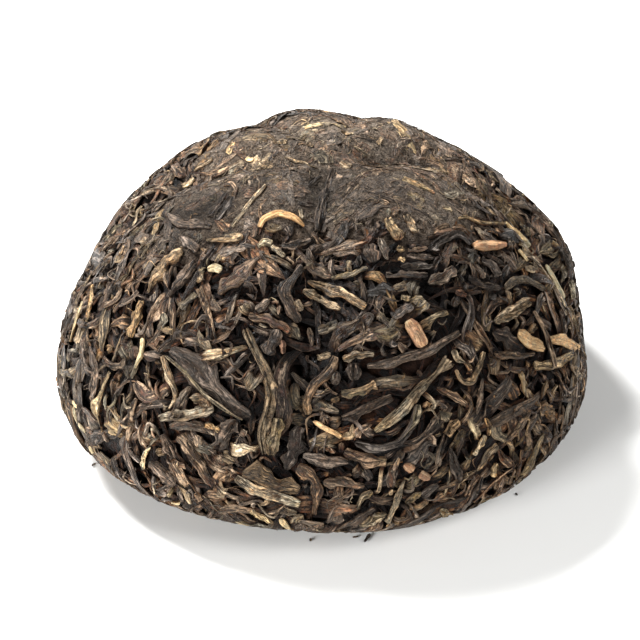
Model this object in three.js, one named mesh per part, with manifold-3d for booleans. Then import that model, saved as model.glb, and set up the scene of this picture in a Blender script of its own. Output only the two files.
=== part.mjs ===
import * as THREE from 'three';
import { mergeVertices } from 'three/addons/utils/BufferGeometryUtils.js';
import Module from 'manifold-3d';

// A nest of raw leaf tea, pressed in a knotted cloth into a thick dome with a hollow underneath.
// It stands on the flat ring round its hollow. Sizes are in millimetres, angles in degrees.
// Azimuth 0 is the front, at -Y, and 90 is the right-hand side, at +X.

// The dome: its outline is measured from the heart, the point on the axis at the widest level.
const WIDEST_RADIUS = 52.5;
const WIDEST_LEVEL = 12;
const CROWN_RISE = 45;
const FOOT_DROP = 15.2;
const UPPER_FULLNESS = 2;
const LOWER_FULLNESS = 2.4;
const OUT_OF_ROUND = [
  { waves: 2, size: 0.009, azimuth: 110 },
  { waves: 3, size: 0.015, azimuth: 62 },
  { waves: 4, size: 0.01, azimuth: 28 },
];

// The hollow that the thumb of the mould leaves underneath.
const HOLLOW_RADIUS = 27;
const HOLLOW_DEPTH = 31;

// The folds of the cloth leave valleys that run out from the knot near the crown, as seen from above.
const FOLDS = [
  { depth: 1.6, spread: 4.5, route: [[1.5, -2], [0, -12], [0, -27], [-3, -36], [-5, -46]] },
  { depth: 2.6, spread: 5, route: [[-7, 5], [-23, 8], [-34, 8], [-42, 4], [-53, 0]] },
  { depth: 2.4, spread: 5, route: [[9, 6], [22, 12], [30, 8], [37, 6], [43, 0], [53, -4]] },
  { depth: 1.8, spread: 5, route: [[6, 8], [12, 22], [17, 33], [22, 46]] },
  { depth: 1.8, spread: 5, route: [[-2, 9], [-10, 24], [-18, 36], [-24, 47]] },
];
const FOLD_END_LIFT = 4;
const FOLD_FULL_LIFT = 26;

// The core lies this far under the leaves: little where the cloth pressed hard, more at the sides.
const PRESSED_COVER = 0.5;
const LOOSE_COVER = 1.5;
const PRESSED_LIFT = 66;
const LOOSE_LIFT = 40;
const CORE_SECTORS = 48;
const CORE_BANDS = 26;
const HOLLOW_SECTORS = 28;
const HOLLOW_BANDS = 16;

// Leaves: the longest come first, and each prefix of the row is spread evenly over the dome.
const LEAF_COUNT = 124;
const LONGEST_LEAF = 27;
const SHORTEST_LEAF = 12;
const WIDEST_LEAF = 4.2;
const NARROWEST_LEAF = 2.2;
const LEAF_THICKNESS = 1.5;
const LEAF_KEEL = 2.4;
const LEAF_PROUD = 0.35;
const LEAF_TIP_DIVE = 2.4;
const LEAF_BOW = 0.16;
const LEAF_STEP_LENGTH = 7;
const LOWEST_LEAF_LIFT = -16;
const SPREAD_STEP_UP = 0.7548776662;
const SPREAD_STEP_ROUND = 0.569840291;
const HOLLOW_LEAF_COUNT = 12;
const HOLLOW_COVER = 1.2;

// Leaves that stand out at the front: where each starts, its middle and its end, as azimuth and
// lift above the widest level seen from the heart, and its width.
const SHOWN_LEAVES = [
  { width: 4.3, way: [[-41, 30], [-28, 27], [-16, 21]] },
  { width: 2.6, way: [[-23, 40], [-12, 27], [-13, 12]] },
  { width: 2.2, way: [[-9, 54], [3, 50], [15, 45]] },
  { width: 2.4, way: [[10, 33], [25, 32], [39, 37]] },
  { width: 2.4, way: [[9, 18], [19, 23], [33, 32]] },
  { width: 2.2, way: [[6, 17], [15, 16], [22, 25]] },
  { width: 3.0, way: [[62, 23], [68, 17], [75, 11]] },
  { width: 2.4, way: [[53, 19], [63, 17], [73, 13]] },
  { width: 2.7, way: [[52, 30], [55, 25], [59, 20]] },
  { width: 2.8, way: [[59, 48], [66, 46], [74, 43]] },
  { width: 2.6, way: [[23, 43], [25, 38], [27, 34]] },
  { width: 2.0, way: [[-35, 61], [-27, 70], [-10, 67]] },
  { width: 2.0, way: [[-53, 20], [-56, 12], [-51, 4]] },
  { width: 3.0, way: [[-56, 50], [-59, 44], [-56, 37]] },
  { width: 2.6, way: [[-52, 50], [-50, 44], [-51, 37]] },
  { width: 3.2, way: [[-36, 43], [-33, 50], [-27, 57]] },
];

const TRIM_REACH = 80;

const wasm = await Module();
wasm.setup();

const heart = new THREE.Vector3(0, 0, WIDEST_LEVEL);
const radians = THREE.MathUtils.degToRad;
const blend = THREE.MathUtils.lerp;
const smoothstep = THREE.MathUtils.smoothstep;

let seed = 5;

// One of an even spread of numbers from 0 to 1, always in the same order.
function draw() {
  seed = (seed * 16807) % 2147483647;
  return seed / 2147483647;
}

// Unit direction from the heart to a place given by its azimuth and lift.
function towards(azimuth, lift) {
  const level = Math.cos(radians(lift));
  const around = radians(azimuth);
  return new THREE.Vector3(level * Math.sin(around), -level * Math.cos(around), Math.sin(radians(lift)));
}

function liftOf(direction) {
  return THREE.MathUtils.radToDeg(Math.asin(THREE.MathUtils.clamp(direction.z, -1, 1)));
}

// Distance from a point to one fold's route, both seen from above.
function distanceToRoute(x, y, route) {
  let nearest = Infinity;
  for (let i = 1; i < route.length; i++) {
    const [startX, startY] = route[i - 1];
    const runX = route[i][0] - startX;
    const runY = route[i][1] - startY;
    const along = ((x - startX) * runX + (y - startY) * runY) / (runX * runX + runY * runY);
    const held = THREE.MathUtils.clamp(along, 0, 1);
    nearest = Math.min(nearest, Math.hypot(x - startX - held * runX, y - startY - held * runY));
  }
  return nearest;
}

// Depth of the folds' valleys at a point of the dome.
function foldDepth(point, lift) {
  let depth = 0;
  for (const fold of FOLDS) {
    const away = distanceToRoute(point.x, point.y, fold.route) / fold.spread;
    depth = Math.max(depth, fold.depth * Math.exp(-away * away));
  }
  return depth * smoothstep(lift, FOLD_END_LIFT, FOLD_FULL_LIFT);
}

// Distance from the heart to the outside of the pressed leaves.
function reach(direction) {
  const level = Math.hypot(direction.x, direction.y);
  const azimuth = Math.atan2(direction.x, -direction.y);
  const rises = direction.z >= 0;
  const fullness = rises ? UPPER_FULLNESS : LOWER_FULLNESS;
  const height = rises ? CROWN_RISE : FOOT_DROP;
  const sideways = (level / WIDEST_RADIUS) ** fullness;
  const upright = (Math.abs(direction.z) / height) ** fullness;
  let distance = (sideways + upright) ** (-1 / fullness);
  for (const lobe of OUT_OF_ROUND) {
    distance *= 1 + lobe.size * level * Math.cos(lobe.waves * (azimuth - radians(lobe.azimuth)));
  }
  const point = direction.clone().multiplyScalar(distance);
  return distance - foldDepth(point, liftOf(direction));
}

// Cover of leaves over the core, by lift.
function cover(lift) {
  return blend(LOOSE_COVER, PRESSED_COVER, smoothstep(lift, LOOSE_LIFT, PRESSED_LIFT));
}

// Point of the dome's outside in a direction, raised or sunk along it.
function onDome(direction, raised) {
  return direction.clone().multiplyScalar(reach(direction) + raised).add(heart);
}

// Point of the hollow's wall in a direction from the middle of its mouth, raised into the hollow.
function inHollow(direction, raised) {
  const level = Math.hypot(direction.x, direction.y) / HOLLOW_RADIUS;
  const distance = 1 / Math.hypot(level, direction.z / HOLLOW_DEPTH);
  return direction.clone().multiplyScalar(distance - raised);
}

// Closed geometry as a solid that can be joined and cut.
function toSolid(geometry) {
  geometry.deleteAttribute('normal');
  geometry.deleteAttribute('uv');
  const merged = mergeVertices(geometry);
  const mesh = new wasm.Mesh({
    numProp: 3,
    vertProperties: new Float32Array(merged.attributes.position.array),
    triVerts: new Uint32Array(merged.index.array),
  });
  return new wasm.Manifold(mesh);
}

// A round ball of facets, each corner moved to where the given rule puts its direction.
function shapedBall(sectors, bands, place) {
  const geometry = new THREE.SphereGeometry(1, sectors, bands);
  geometry.rotateX(Math.PI / 2);
  const corners = geometry.attributes.position;
  for (let i = 0; i < corners.count; i++) {
    const direction = new THREE.Vector3().fromBufferAttribute(corners, i).normalize();
    corners.setXYZ(i, ...place(direction).toArray());
  }
  return toSolid(geometry);
}

// Section of a leaf seen along it: a low roof over a keel that is sunk in the core.
function leafSection(width, thickness) {
  return [
    [-0.5 * width, -0.3 * thickness],
    [0, -LEAF_KEEL],
    [0.5 * width, -0.3 * thickness],
    [-0.08 * width, 0.5 * thickness],
  ];
}

// One leaf along a way of three directions, lying on the surface that the place rule gives.
function leafSolid(way, width, proud, place, outward) {
  const route = new THREE.CatmullRomCurve3(way);
  const section = leafSection(width, LEAF_THICKNESS);
  const span = place(way[0], 0).distanceTo(place(way[2], 0));
  const steps = Math.max(2, Math.round(span / LEAF_STEP_LENGTH));
  const positions = [];
  for (let step = 0; step <= steps; step++) {
    const along = step / steps;
    const tip = Math.abs(2 * along - 1) ** 3;
    const raised = proud - LEAF_THICKNESS / 2 - LEAF_TIP_DIVE * tip;
    const direction = route.getPoint(along).normalize();
    const ahead = route.getPoint(Math.min(along + 0.02, 1)).normalize();
    const behind = route.getPoint(Math.max(along - 0.02, 0)).normalize();
    const centre = place(direction, raised);
    const tangent = place(ahead, raised).sub(place(behind, raised)).normalize();
    const normal = direction.clone().multiplyScalar(outward);
    normal.addScaledVector(tangent, -normal.dot(tangent)).normalize();
    const side = new THREE.Vector3().crossVectors(tangent, normal);
    const taper = 1 - 0.55 * tip;
    for (const [across, up] of section) {
      const corner = centre.clone().addScaledVector(side, across * taper);
      corner.addScaledVector(normal, up * taper);
      positions.push(...corner.toArray());
    }
  }
  const sides = section.length;
  const last = steps * sides;
  const faces = [0, 1, 2, 0, 2, 3, last, last + 2, last + 1, last, last + 3, last + 2];
  for (let i = 0; i < sides; i++) {
    const next = (i + 1) % sides;
    for (let step = 0; step < steps; step++) {
      const here = step * sides;
      const there = here + sides;
      faces.push(here + i, there + next, here + next, here + i, there + i, there + next);
    }
  }
  const geometry = new THREE.BufferGeometry();
  geometry.setAttribute('position', new THREE.Float32BufferAttribute(positions, 3));
  geometry.setIndex(faces);
  return toSolid(geometry);
}

// A way of three directions through a middle, for a leaf of a given length and bow.
function wayThrough(middle, heading, length, radius) {
  const east = new THREE.Vector3(-middle.y, middle.x, 0).normalize();
  const north = new THREE.Vector3().crossVectors(middle, east);
  const along = east.multiplyScalar(Math.cos(heading)).addScaledVector(north, Math.sin(heading));
  const aside = new THREE.Vector3().crossVectors(middle, along);
  const half = length / 2 / radius;
  const bow = (2 * draw() - 1) * LEAF_BOW * length / radius;
  const start = middle.clone().addScaledVector(along, -half).addScaledVector(aside, bow);
  const end = middle.clone().addScaledVector(along, half).addScaledVector(aside, bow);
  return [start.normalize(), middle, end.normalize()];
}

// The leaves that cover the dome, largest first.
function domeLeaves() {
  const leaves = [];
  const lowest = Math.sin(radians(LOWEST_LEAF_LIFT));
  for (let i = 1; i <= LEAF_COUNT; i++) {
    const upright = blend(lowest, 1, (i * SPREAD_STEP_UP) % 1);
    const lift = THREE.MathUtils.radToDeg(Math.asin(upright));
    const middle = towards(360 * ((i * SPREAD_STEP_ROUND) % 1), lift);
    const rank = (i - 1) / LEAF_COUNT;
    const length = blend(LONGEST_LEAF, SHORTEST_LEAF, rank) * (0.85 + 0.3 * draw());
    const width = blend(WIDEST_LEAF, NARROWEST_LEAF, Math.sqrt(rank)) * (0.85 + 0.3 * draw());
    const loose = cover(lift) / LOOSE_COVER;
    const proud = LEAF_PROUD * loose * (0.3 + 1.4 * draw());
    const way = wayThrough(middle, Math.PI * draw(), length, reach(middle));
    leaves.push(leafSolid(way, width, proud, onDome, 1));
  }
  for (const { way, width } of SHOWN_LEAVES) {
    const directions = way.map(([azimuth, lift]) => towards(azimuth, lift));
    leaves.push(leafSolid(directions, width, LEAF_PROUD * 1.6, onDome, 1));
  }
  return leaves;
}

// The leaves that line the hollow.
function hollowLeaves() {
  const leaves = [];
  for (let i = 1; i <= HOLLOW_LEAF_COUNT; i++) {
    const upright = blend(0.25, 0.95, (i * SPREAD_STEP_UP) % 1);
    const lift = THREE.MathUtils.radToDeg(Math.asin(upright));
    const middle = towards(360 * ((i * SPREAD_STEP_ROUND) % 1), lift);
    const length = blend(SHORTEST_LEAF, LONGEST_LEAF, 0.6 * draw());
    const width = blend(NARROWEST_LEAF, WIDEST_LEAF, draw());
    const way = wayThrough(middle, Math.PI * draw(), length, HOLLOW_RADIUS);
    leaves.push(leafSolid(way, width, LEAF_PROUD, inHollow, -1));
  }
  return leaves;
}

// Everything above the floor, inside the widest the nest may be.
function trimBox() {
  const box = new THREE.BoxGeometry(2 * TRIM_REACH, 2 * TRIM_REACH, TRIM_REACH);
  box.translate(0, 0, TRIM_REACH / 2);
  return toSolid(box);
}

// The core under the leaves, with the hollow cut out of it.
function coreSolid() {
  const underLeaves = (direction) => onDome(direction, -cover(liftOf(direction)));
  const behindLining = (direction) => inHollow(direction, -HOLLOW_COVER);
  const dome = shapedBall(CORE_SECTORS, CORE_BANDS, underLeaves);
  return dome.subtract(shapedBall(HOLLOW_SECTORS, HOLLOW_BANDS, behindLining));
}

// The one body of the nest: loose scraps are dropped and sealed hollows are filled.
function pressedNest() {
  let nest = coreSolid();
  for (const leaf of [...domeLeaves(), ...hollowLeaves()]) {
    nest = nest.add(leaf);
  }
  const bodies = nest.intersect(trimBox()).decompose();
  return bodies.reduce((most, body) => (body.volume() > most.volume() ? body : most));
}

// A solid as a geometry whose box is centred over the origin.
function toGeometry(solid) {
  const mesh = solid.getMesh();
  const geometry = new THREE.BufferGeometry();
  geometry.setAttribute('position', new THREE.BufferAttribute(new Float32Array(mesh.vertProperties), 3));
  geometry.setIndex(new THREE.BufferAttribute(new Uint32Array(mesh.triVerts), 1));
  geometry.computeBoundingBox();
  const middle = geometry.boundingBox.getCenter(new THREE.Vector3());
  geometry.translate(-middle.x, -middle.y, 0);
  return geometry;
}

const leafTea = new THREE.MeshStandardMaterial({ color: 0x4f4236, roughness: 0.75, metalness: 0 });
leafTea.flatShading = true;

const teaCake = new THREE.Mesh(toGeometry(pressedNest()), leafTea);
teaCake.name = 'tea_cake';

const group = new THREE.Group();
group.add(teaCake);

export default group;
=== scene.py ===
import functools
import math

import bpy
import numpy as np
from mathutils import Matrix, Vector


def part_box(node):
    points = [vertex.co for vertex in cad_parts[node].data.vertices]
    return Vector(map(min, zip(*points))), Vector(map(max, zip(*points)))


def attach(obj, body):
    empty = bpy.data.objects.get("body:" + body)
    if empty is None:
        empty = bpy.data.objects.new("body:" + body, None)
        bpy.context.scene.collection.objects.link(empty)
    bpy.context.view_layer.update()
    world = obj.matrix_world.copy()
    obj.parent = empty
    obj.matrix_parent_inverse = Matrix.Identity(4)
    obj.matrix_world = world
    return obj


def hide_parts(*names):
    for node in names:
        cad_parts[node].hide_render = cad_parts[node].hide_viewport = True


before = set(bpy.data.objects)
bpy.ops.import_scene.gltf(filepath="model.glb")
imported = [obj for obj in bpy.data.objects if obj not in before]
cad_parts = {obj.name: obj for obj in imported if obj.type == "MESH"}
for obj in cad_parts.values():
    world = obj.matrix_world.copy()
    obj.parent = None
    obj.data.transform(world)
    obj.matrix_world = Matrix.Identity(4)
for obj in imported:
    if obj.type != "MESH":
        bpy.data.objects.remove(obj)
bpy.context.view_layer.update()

bl_info = {
    "name": "Pressed tea nest",
    "version": (1, 0, 0),
    "blender": (4, 5, 0),
    "location": "View3D > Sidebar > Tea nest",
    "description": "Builds a domed nest of pressed leaf tea out of its single leaves",
    "category": "Add Mesh",
}

NODE = "tea_cake"
BODY = "root"
BOX_LOW, BOX_HIGH = (np.array(corner) * 1000.0 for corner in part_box(NODE))
BOX_MARGIN = 0.05
MM = 0.001

# The nest's form, in millimetres and degrees, close inside its solid. Azimuth 0 is the front, at -Y.
WIDEST_RADIUS = 52.0
WIDEST_LEVEL = 12.0
CROWN_RISE = 44.7
FOOT_DROP = 16.5
UPPER_FULLNESS = 1.92
LOWER_FULLNESS = 2.2
OUT_OF_ROUND = ((2, 0.005, 105.0), (3, 0.013, 64.0), (4, 0.0105, 29.0))
HOLLOW_RADIUS = 27.0
HOLLOW_DEPTH = 31.0
MOUTH_RIM = 2.0
FOOT_LEVEL = 0.5
LINING_LEVEL = 2.0
HEART = np.array([0.0, 0.0, WIDEST_LEVEL])

# Valleys that the folds of the cloth leave, as routes seen from above.
FOLDS = (
    {"depth": 2.2, "spread": 4.5, "route": ((1.5, -2), (0, -12), (0, -27), (-3, -36), (-5, -46))},
    {"depth": 3.4, "spread": 5.0, "route": ((-7, 5), (-23, 8), (-34, 8), (-42, 4), (-53, 0))},
    {"depth": 3.4, "spread": 5.0, "route": ((9, 6), (22, 12), (30, 8), (37, 6), (43, 0), (53, -4))},
    {"depth": 0.6, "spread": 5.0, "route": ((3, 8), (6, 22), (9, 33), (13, 46))},
    {"depth": 1.6, "spread": 5.0, "route": ((-2, 9), (-10, 24), (-18, 36), (-24, 47))},
)
# Soft bulges and dents of the hand-pressed form: where they lie, how far they stand out, and their reach.
BULGES = (
    {"part": "high on the left", "azimuth": -101, "lift": 18, "rise": -1.1, "reach": 8.0},
    {"part": "low on the left", "azimuth": -97, "lift": 2, "rise": 0.8, "reach": 8.0},
    {"part": "high on the right", "azimuth": 105, "lift": 20, "rise": 1.2, "reach": 8.0},
    {"part": "low on the right", "azimuth": 91, "lift": 8, "rise": -1.6, "reach": 7.0},
    {"part": "crown, at the back on the right", "azimuth": 148, "lift": 57, "rise": 1.5, "reach": 8.0},
    {"part": "crown, at the back on the left", "azimuth": -166, "lift": 52, "rise": 0.8, "reach": 11.0},
)
FOLD_END_LIFT = -4.0
FOLD_FULL_LIFT = 19.0
CREASE_DEPTH = 0.7
CREASE_SPREAD = 0.8

# Above the pressed lift the cloth has pressed the leaves flat, and below the loose lift they stand out.
# Both lie lower by the flank drop at the sides and the back.
PRESSED_LIFT = 77.0
LOOSE_LIFT = 46.0
FLANK_DROP = 20.0
FLANK_AZIMUTHS = (15.0, 85.0)

# Uneven patterns, each of layers with a size, a number of waves and a seed.
LOOSE_BORDER = ((5.0, 7.0, 3), (3.0, 17.0, 4))
CORE_GRAIN = ((0.22, 60.0, 11), (0.14, 140.0, 12))
CLUMPS = ((1.5, 6.0, 5),)

# The photograph's camera: it looks down on the front of the nest.
PHOTO_SIZE = 640
CAMERA_ELEVATION = 37.0
CAMERA_DISTANCE = 600.0
CAMERA_AIM = np.array([-0.7, 0.0, 18.97])
PIXELS_PER_MM = 5.1
SENSOR_WIDTH = 36.0

# A line of sight is followed to the nest from a lead before the camera's aim, by a share of the gap.
SIGHT_LEAD = 90.0
SIGHT_STEPS = 120
SIGHT_SHARE = 0.6

LOOSE_CORE_DEPTH = 2.5
PRESSED_CORE_DEPTH = 0.2

LINE_SAMPLES = 45
CELL = 0.55


def spot(part, at, reach, **values):
    """Part of the photograph: its place and reach in pixels, and what holds there."""
    return {"part": part, "at": at, "reach": reach, **values}


# How the leaves run in parts of the photograph, as angles in degrees.
COMBED = (
    spot("upper left side", (120, 290), 45, angle=62),
    spot("left edge", (88, 385), 40, angle=88),
    spot("left crest", (150, 215), 35, angle=48),
    spot("round the big leaf", (205, 380), 38, angle=-42),
    spot("lower left", (185, 460), 38, angle=-52),
    spot("foot, left of the middle", (260, 500), 40, angle=-25),
    spot("below the crease", (268, 390), 30, angle=-78),
    spot("under the dark pit", (410, 385), 48, angle=30),
    spot("right of the crown", (430, 262), 40, angle=2),
    spot("lower right", (485, 440), 40, angle=64),
    spot("foot, right of the middle", (425, 492), 40, angle=42),
    spot("foot, middle", (345, 490), 28, angle=12),
    spot("right edge", (568, 320), 32, angle=-72),
    spot("upper right side", (515, 240), 38, angle=-42),
)

# Darker, paler, warmer and deeper parts of the photograph: partly the leaves' own tones, and partly painted
# shade in the creases, the pits and under the lobes, and painted light on the top rim and the foot.
PATCHES = (
    spot("pit beside the orange chip", (445, 296), 26, tone=0.42, sunk=0.8),
    spot("black leaves right of the pit", (474, 278), 34, tone=0.38),
    spot("lower end of the front crease", (304, 350), 28, tone=0.46, sunk=0.9),
    spot("dark leaves in the front crease", (345, 312), 32, tone=0.46),
    spot("pale leaves right of the crease", (382, 340), 18, tone=1.3),
    spot("front crease under the crown", (335, 195), 36, tone=0.27),
    spot("front crease under the lobes", (335, 252), 26, tone=0.64),
    spot("dark leaves of the left lobe", (208, 206), 34, tone=0.44),
    spot("left lobe's right half", (272, 186), 40, tone=0.76),
    spot("under the left lobe", (180, 225), 38, tone=0.42),
    spot("above the pit", (385, 282), 32, tone=0.54),
    spot("under the right lobe", (400, 245), 38, tone=0.8),
    spot("low on the right", (525, 430), 52, tone=0.62, warmth=1.4),
    spot("left of the right pale leaves", (502, 385), 32, tone=0.56, warmth=1.4),
    spot("round the right pale leaves", (545, 330), 34, tone=1.7, warmth=1.2),
    spot("right edge", (552, 285), 42, tone=1.9, warmth=1.1),
    spot("hooks", (462, 360), 26, tone=1.8, warmth=1.1),
    spot("left side", (120, 330), 52, tone=1.02, warmth=1.26),
    spot("left edge", (112, 348), 34, tone=0.62),
    spot("right of the left pale leaf", (185, 312), 26, tone=0.78, warmth=1.1),
    spot("under the left edge", (136, 402), 22, tone=0.76, warmth=1.06),
    spot("foot on the left", (148, 465), 42, tone=2.1),
    spot("left of the foot's middle", (230, 468), 38, tone=1.3),
    spot("lower left edge of the foot", (222, 522), 26, tone=0.48),
    spot("under the winding leaf", (300, 392), 30, tone=0.34),
    spot("above the foot's middle", (370, 412), 40, tone=1.7),
    spot("right of the foot's middle", (428, 470), 34, tone=0.52),
    spot("foot under the flat leaf", (342, 486), 24, tone=0.8),
    spot("dark leaves under the long leaf", (420, 374), 22, tone=0.8),
    spot("left of the big leaf", (176, 372), 26, tone=1.6),
    spot("under the left bluish leaf", (220, 282), 24, tone=1.3),
    spot("foot on the right", (500, 490), 24, tone=2.0),
    spot("above the foot's right", (542, 458), 24, tone=0.72),
    spot("right lobe", (400, 192), 32, tone=0.76),
    spot("right of the lobe's slabs", (382, 252), 18, tone=1.3),
    spot("left of the crease", (222, 340), 20, tone=0.62),
    spot("over the plum plate", (382, 432), 20, tone=1.4),
    spot("right edge of the foot", (425, 516), 20, tone=0.7),
    spot("right crown", (440, 165), 46, tone=1.3),
    spot("top rim", (350, 128), 48, tone=1.24),
)


def srgb(code):
    """Linear colour of a hexadecimal screen colour."""
    levels = [int(code[i:i + 2], 16) / 255.0 for i in (0, 2, 4)]
    return tuple(v / 12.92 if v <= 0.04045 else ((v + 0.055) / 1.055) ** 2.4 for v in levels)


def smoothstep(value, low, high):
    """Smooth rise from 0 at low to 1 at high."""
    t = np.clip((value - low) / (high - low), 0.0, 1.0)
    return t * t * (3.0 - 2.0 * t)


def unit(vectors):
    """Vectors at length one."""
    return vectors / np.maximum(np.linalg.norm(vectors, axis=-1, keepdims=True), 1e-9)


def lift_of(directions):
    """Lift above the widest level of directions from the heart, in degrees."""
    return np.degrees(np.arcsin(np.clip(directions[..., 2], -1.0, 1.0)))


# The pressed surface that the leaves lie under.

def distance_to_route(x, y, route):
    """Distance from points to a route, all seen from above."""
    nearest = np.full(np.shape(x), np.inf)
    for (x0, y0), (x1, y1) in zip(route, route[1:]):
        run_x, run_y = x1 - x0, y1 - y0
        along = np.clip(((x - x0) * run_x + (y - y0) * run_y) / (run_x**2 + run_y**2), 0.0, 1.0)
        nearest = np.minimum(nearest, np.hypot(x - x0 - along * run_x, y - y0 - along * run_y))
    return nearest


def fold_depth(points, lift):
    """Depth of the folds' valleys, and of the sharp crease along each."""
    depth = np.zeros(np.shape(lift))
    for fold in FOLDS:
        away = distance_to_route(points[..., 0], points[..., 1], fold["route"])
        valley = fold["depth"] * np.exp(-(away / fold["spread"]) ** 2)
        depth = np.maximum(depth, valley + CREASE_DEPTH * np.exp(-(away / CREASE_SPREAD) ** 2))
    return depth * smoothstep(lift, FOLD_END_LIFT, FOLD_FULL_LIFT)


def bulge_heading(bulge):
    """Direction of a bulge from the heart."""
    azimuth, lift = math.radians(bulge["azimuth"]), math.radians(bulge["lift"])
    level = math.cos(lift)
    return np.array([level * math.sin(azimuth), -level * math.cos(azimuth), math.sin(lift)])


BULGE_HEADINGS = [bulge_heading(bulge) for bulge in BULGES]


def reach(directions):
    """Distance from the heart to the outside of the pressed leaves, or to the floor under them."""
    level = np.hypot(directions[..., 0], directions[..., 1])
    azimuth = np.arctan2(directions[..., 0], -directions[..., 1])
    rises = directions[..., 2] >= 0
    fullness = np.where(rises, UPPER_FULLNESS, LOWER_FULLNESS)
    height = np.where(rises, CROWN_RISE, FOOT_DROP)
    upright = (np.abs(directions[..., 2]) / height) ** fullness
    distance = ((level / WIDEST_RADIUS) ** fullness + upright) ** (-1.0 / fullness)
    for waves, size, turned in OUT_OF_ROUND:
        distance = distance * (1.0 + size * level * np.cos(waves * (azimuth - math.radians(turned))))
    for bulge, heading in zip(BULGES, BULGE_HEADINGS):
        away_squared = 2.0 * (1.0 - directions @ heading) * (WIDEST_RADIUS / bulge["reach"]) ** 2
        distance = distance + bulge["rise"] * np.exp(-away_squared)
    distance = distance - fold_depth(directions * distance[..., None], lift_of(directions))
    to_floor = WIDEST_LEVEL / np.maximum(-directions[..., 2], 1e-6)
    return np.where(rises, distance, np.minimum(distance, to_floor))


def dome_point(directions):
    """Point of the nest's outside, or of its foot, in a direction from the heart."""
    return HEART + directions * reach(directions)[..., None]


def hollow_point(directions):
    """Point of the hollow's wall in a direction from the middle of its mouth."""
    level = np.hypot(directions[..., 0], directions[..., 1]) / HOLLOW_RADIUS
    distance = 1.0 / np.hypot(level, directions[..., 2] / HOLLOW_DEPTH)
    return directions * distance[..., None]


DOME = {"point": dome_point, "outward": 1.0}
HOLLOW = {"point": hollow_point, "outward": -1.0}


def surface_normals(surface, directions):
    """Normals of a surface, away from the leaves."""
    step = 0.012
    steady = np.where(np.abs(directions[..., 2:]) < 0.9, [0.0, 0.0, 1.0], [1.0, 0.0, 0.0])
    first = unit(np.cross(directions, steady))
    second = np.cross(directions, first)
    point = surface["point"]
    across = point(unit(directions + step * first)) - point(unit(directions - step * first))
    up = point(unit(directions + step * second)) - point(unit(directions - step * second))
    return unit(np.cross(across, up)) * surface["outward"]


def looseness(directions):
    """0 where the cloth pressed the leaves flat and 1 where they stand out, with a ragged border."""
    ragged = ripples(directions, LOOSE_BORDER)
    azimuth = np.degrees(np.abs(np.arctan2(directions[..., 0], -directions[..., 1])))
    drop = FLANK_DROP * smoothstep(azimuth, *FLANK_AZIMUTHS)
    return 1.0 - smoothstep(lift_of(directions) + ragged + drop, LOOSE_LIFT, PRESSED_LIFT)


def nearness(directions, here, pixels):
    """1 at a direction, and less away from it by a reach in pixels of the photograph."""
    away = np.linalg.norm(directions - here, axis=1) * WIDEST_RADIUS
    return np.exp(-(away * PIXELS_PER_MM / pixels) ** 2)


def patch_strengths(directions):
    """Tone, warmth and sinking that the photograph's patches give directions on the outside; the tone is
    partly painted light and shade.
    """
    count = len(directions)
    tone, warmth, sunk = np.ones(count), np.ones(count), np.zeros(count)
    for patch in PATCHES:
        near = nearness(directions, photo_direction(patch["at"]), patch["reach"])
        tone = tone * patch["tone"] ** near
        warmth = warmth * patch.get("warmth", 1.0) ** near
        sunk = sunk + patch.get("sunk", 0.0) * near
    return tone, warmth, sunk


def ripple(directions, waves, seed):
    """Soft uneven pattern over the directions, about -1 to 1."""
    rng = np.random.default_rng(seed)
    total = 0.0
    for _ in range(6):
        heading = rng.normal(size=3)
        heading *= waves * rng.uniform(0.6, 1.4) / np.linalg.norm(heading)
        total = total + np.sin(directions @ heading + rng.uniform(0.0, 2.0 * math.pi))
    return total / 2.6


def ripples(directions, layers):
    """Sum of soft uneven patterns, each with its size, number of waves and seed."""
    return sum(size * ripple(directions, waves, seed) for size, waves, seed in layers)


# Leaves as lines on the surface.

POOL_FACTOR = 8
LEAST_FACING = 0.15
KINK_ROUNDNESS = 0.04
USUAL_REACH = 50.0


def spread_directions(rng, count, surface, low_lift, high_lift):
    """Directions spread evenly over a surface's area, between two lifts."""
    pool = unit(rng.normal(size=(count * POOL_FACTOR, 3)))
    lift = lift_of(pool)
    pool = pool[(lift > low_lift) & (lift < high_lift)]
    points = surface["point"](pool)
    origin = HEART if surface is DOME else np.zeros(3)
    distance = np.linalg.norm(points - origin, axis=1)
    facing = np.abs(np.sum(surface_normals(surface, pool) * pool, axis=1))
    weight = distance**2 / np.maximum(facing, LEAST_FACING)
    most = min(count, len(pool) // 2)
    return pool[rng.choice(len(pool), size=most, replace=False, p=weight / weight.sum())]


def photo_directions(pixels):
    """Directions from the heart to what the nest's outside shows at pixels of the photograph."""
    pixels = np.asarray(pixels, dtype=float)
    elevation = math.radians(CAMERA_ELEVATION)
    forward = np.array([0.0, math.cos(elevation), -math.sin(elevation)])
    right = np.array([1.0, 0.0, 0.0])
    up = np.cross(right, forward)
    focal = PIXELS_PER_MM * CAMERA_DISTANCE
    offset = (pixels - 0.5 * PHOTO_SIZE) / focal
    rays = unit(forward + offset[..., :1] * right - offset[..., 1:] * up)
    run = np.full(rays.shape[:-1], CAMERA_DISTANCE - SIGHT_LEAD)
    nearest = np.full(run.shape, np.inf)
    best = np.zeros(rays.shape)
    for _ in range(SIGHT_STEPS):
        points = camera_place() + rays * run[..., None] - HEART
        distance = np.linalg.norm(points, axis=-1)
        directions = points / distance[..., None]
        gap = distance - reach(directions)
        closer = np.abs(gap) < nearest
        nearest = np.where(closer, np.abs(gap), nearest)
        best = np.where(closer[..., None], directions, best)
        run = run + np.clip(SIGHT_SHARE * gap, -1.0, 3.0)
    return best


@functools.lru_cache(maxsize=None)
def photo_direction(pixel):
    """Direction from the heart to what the nest's outside shows at one pixel."""
    return photo_directions(pixel)


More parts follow.
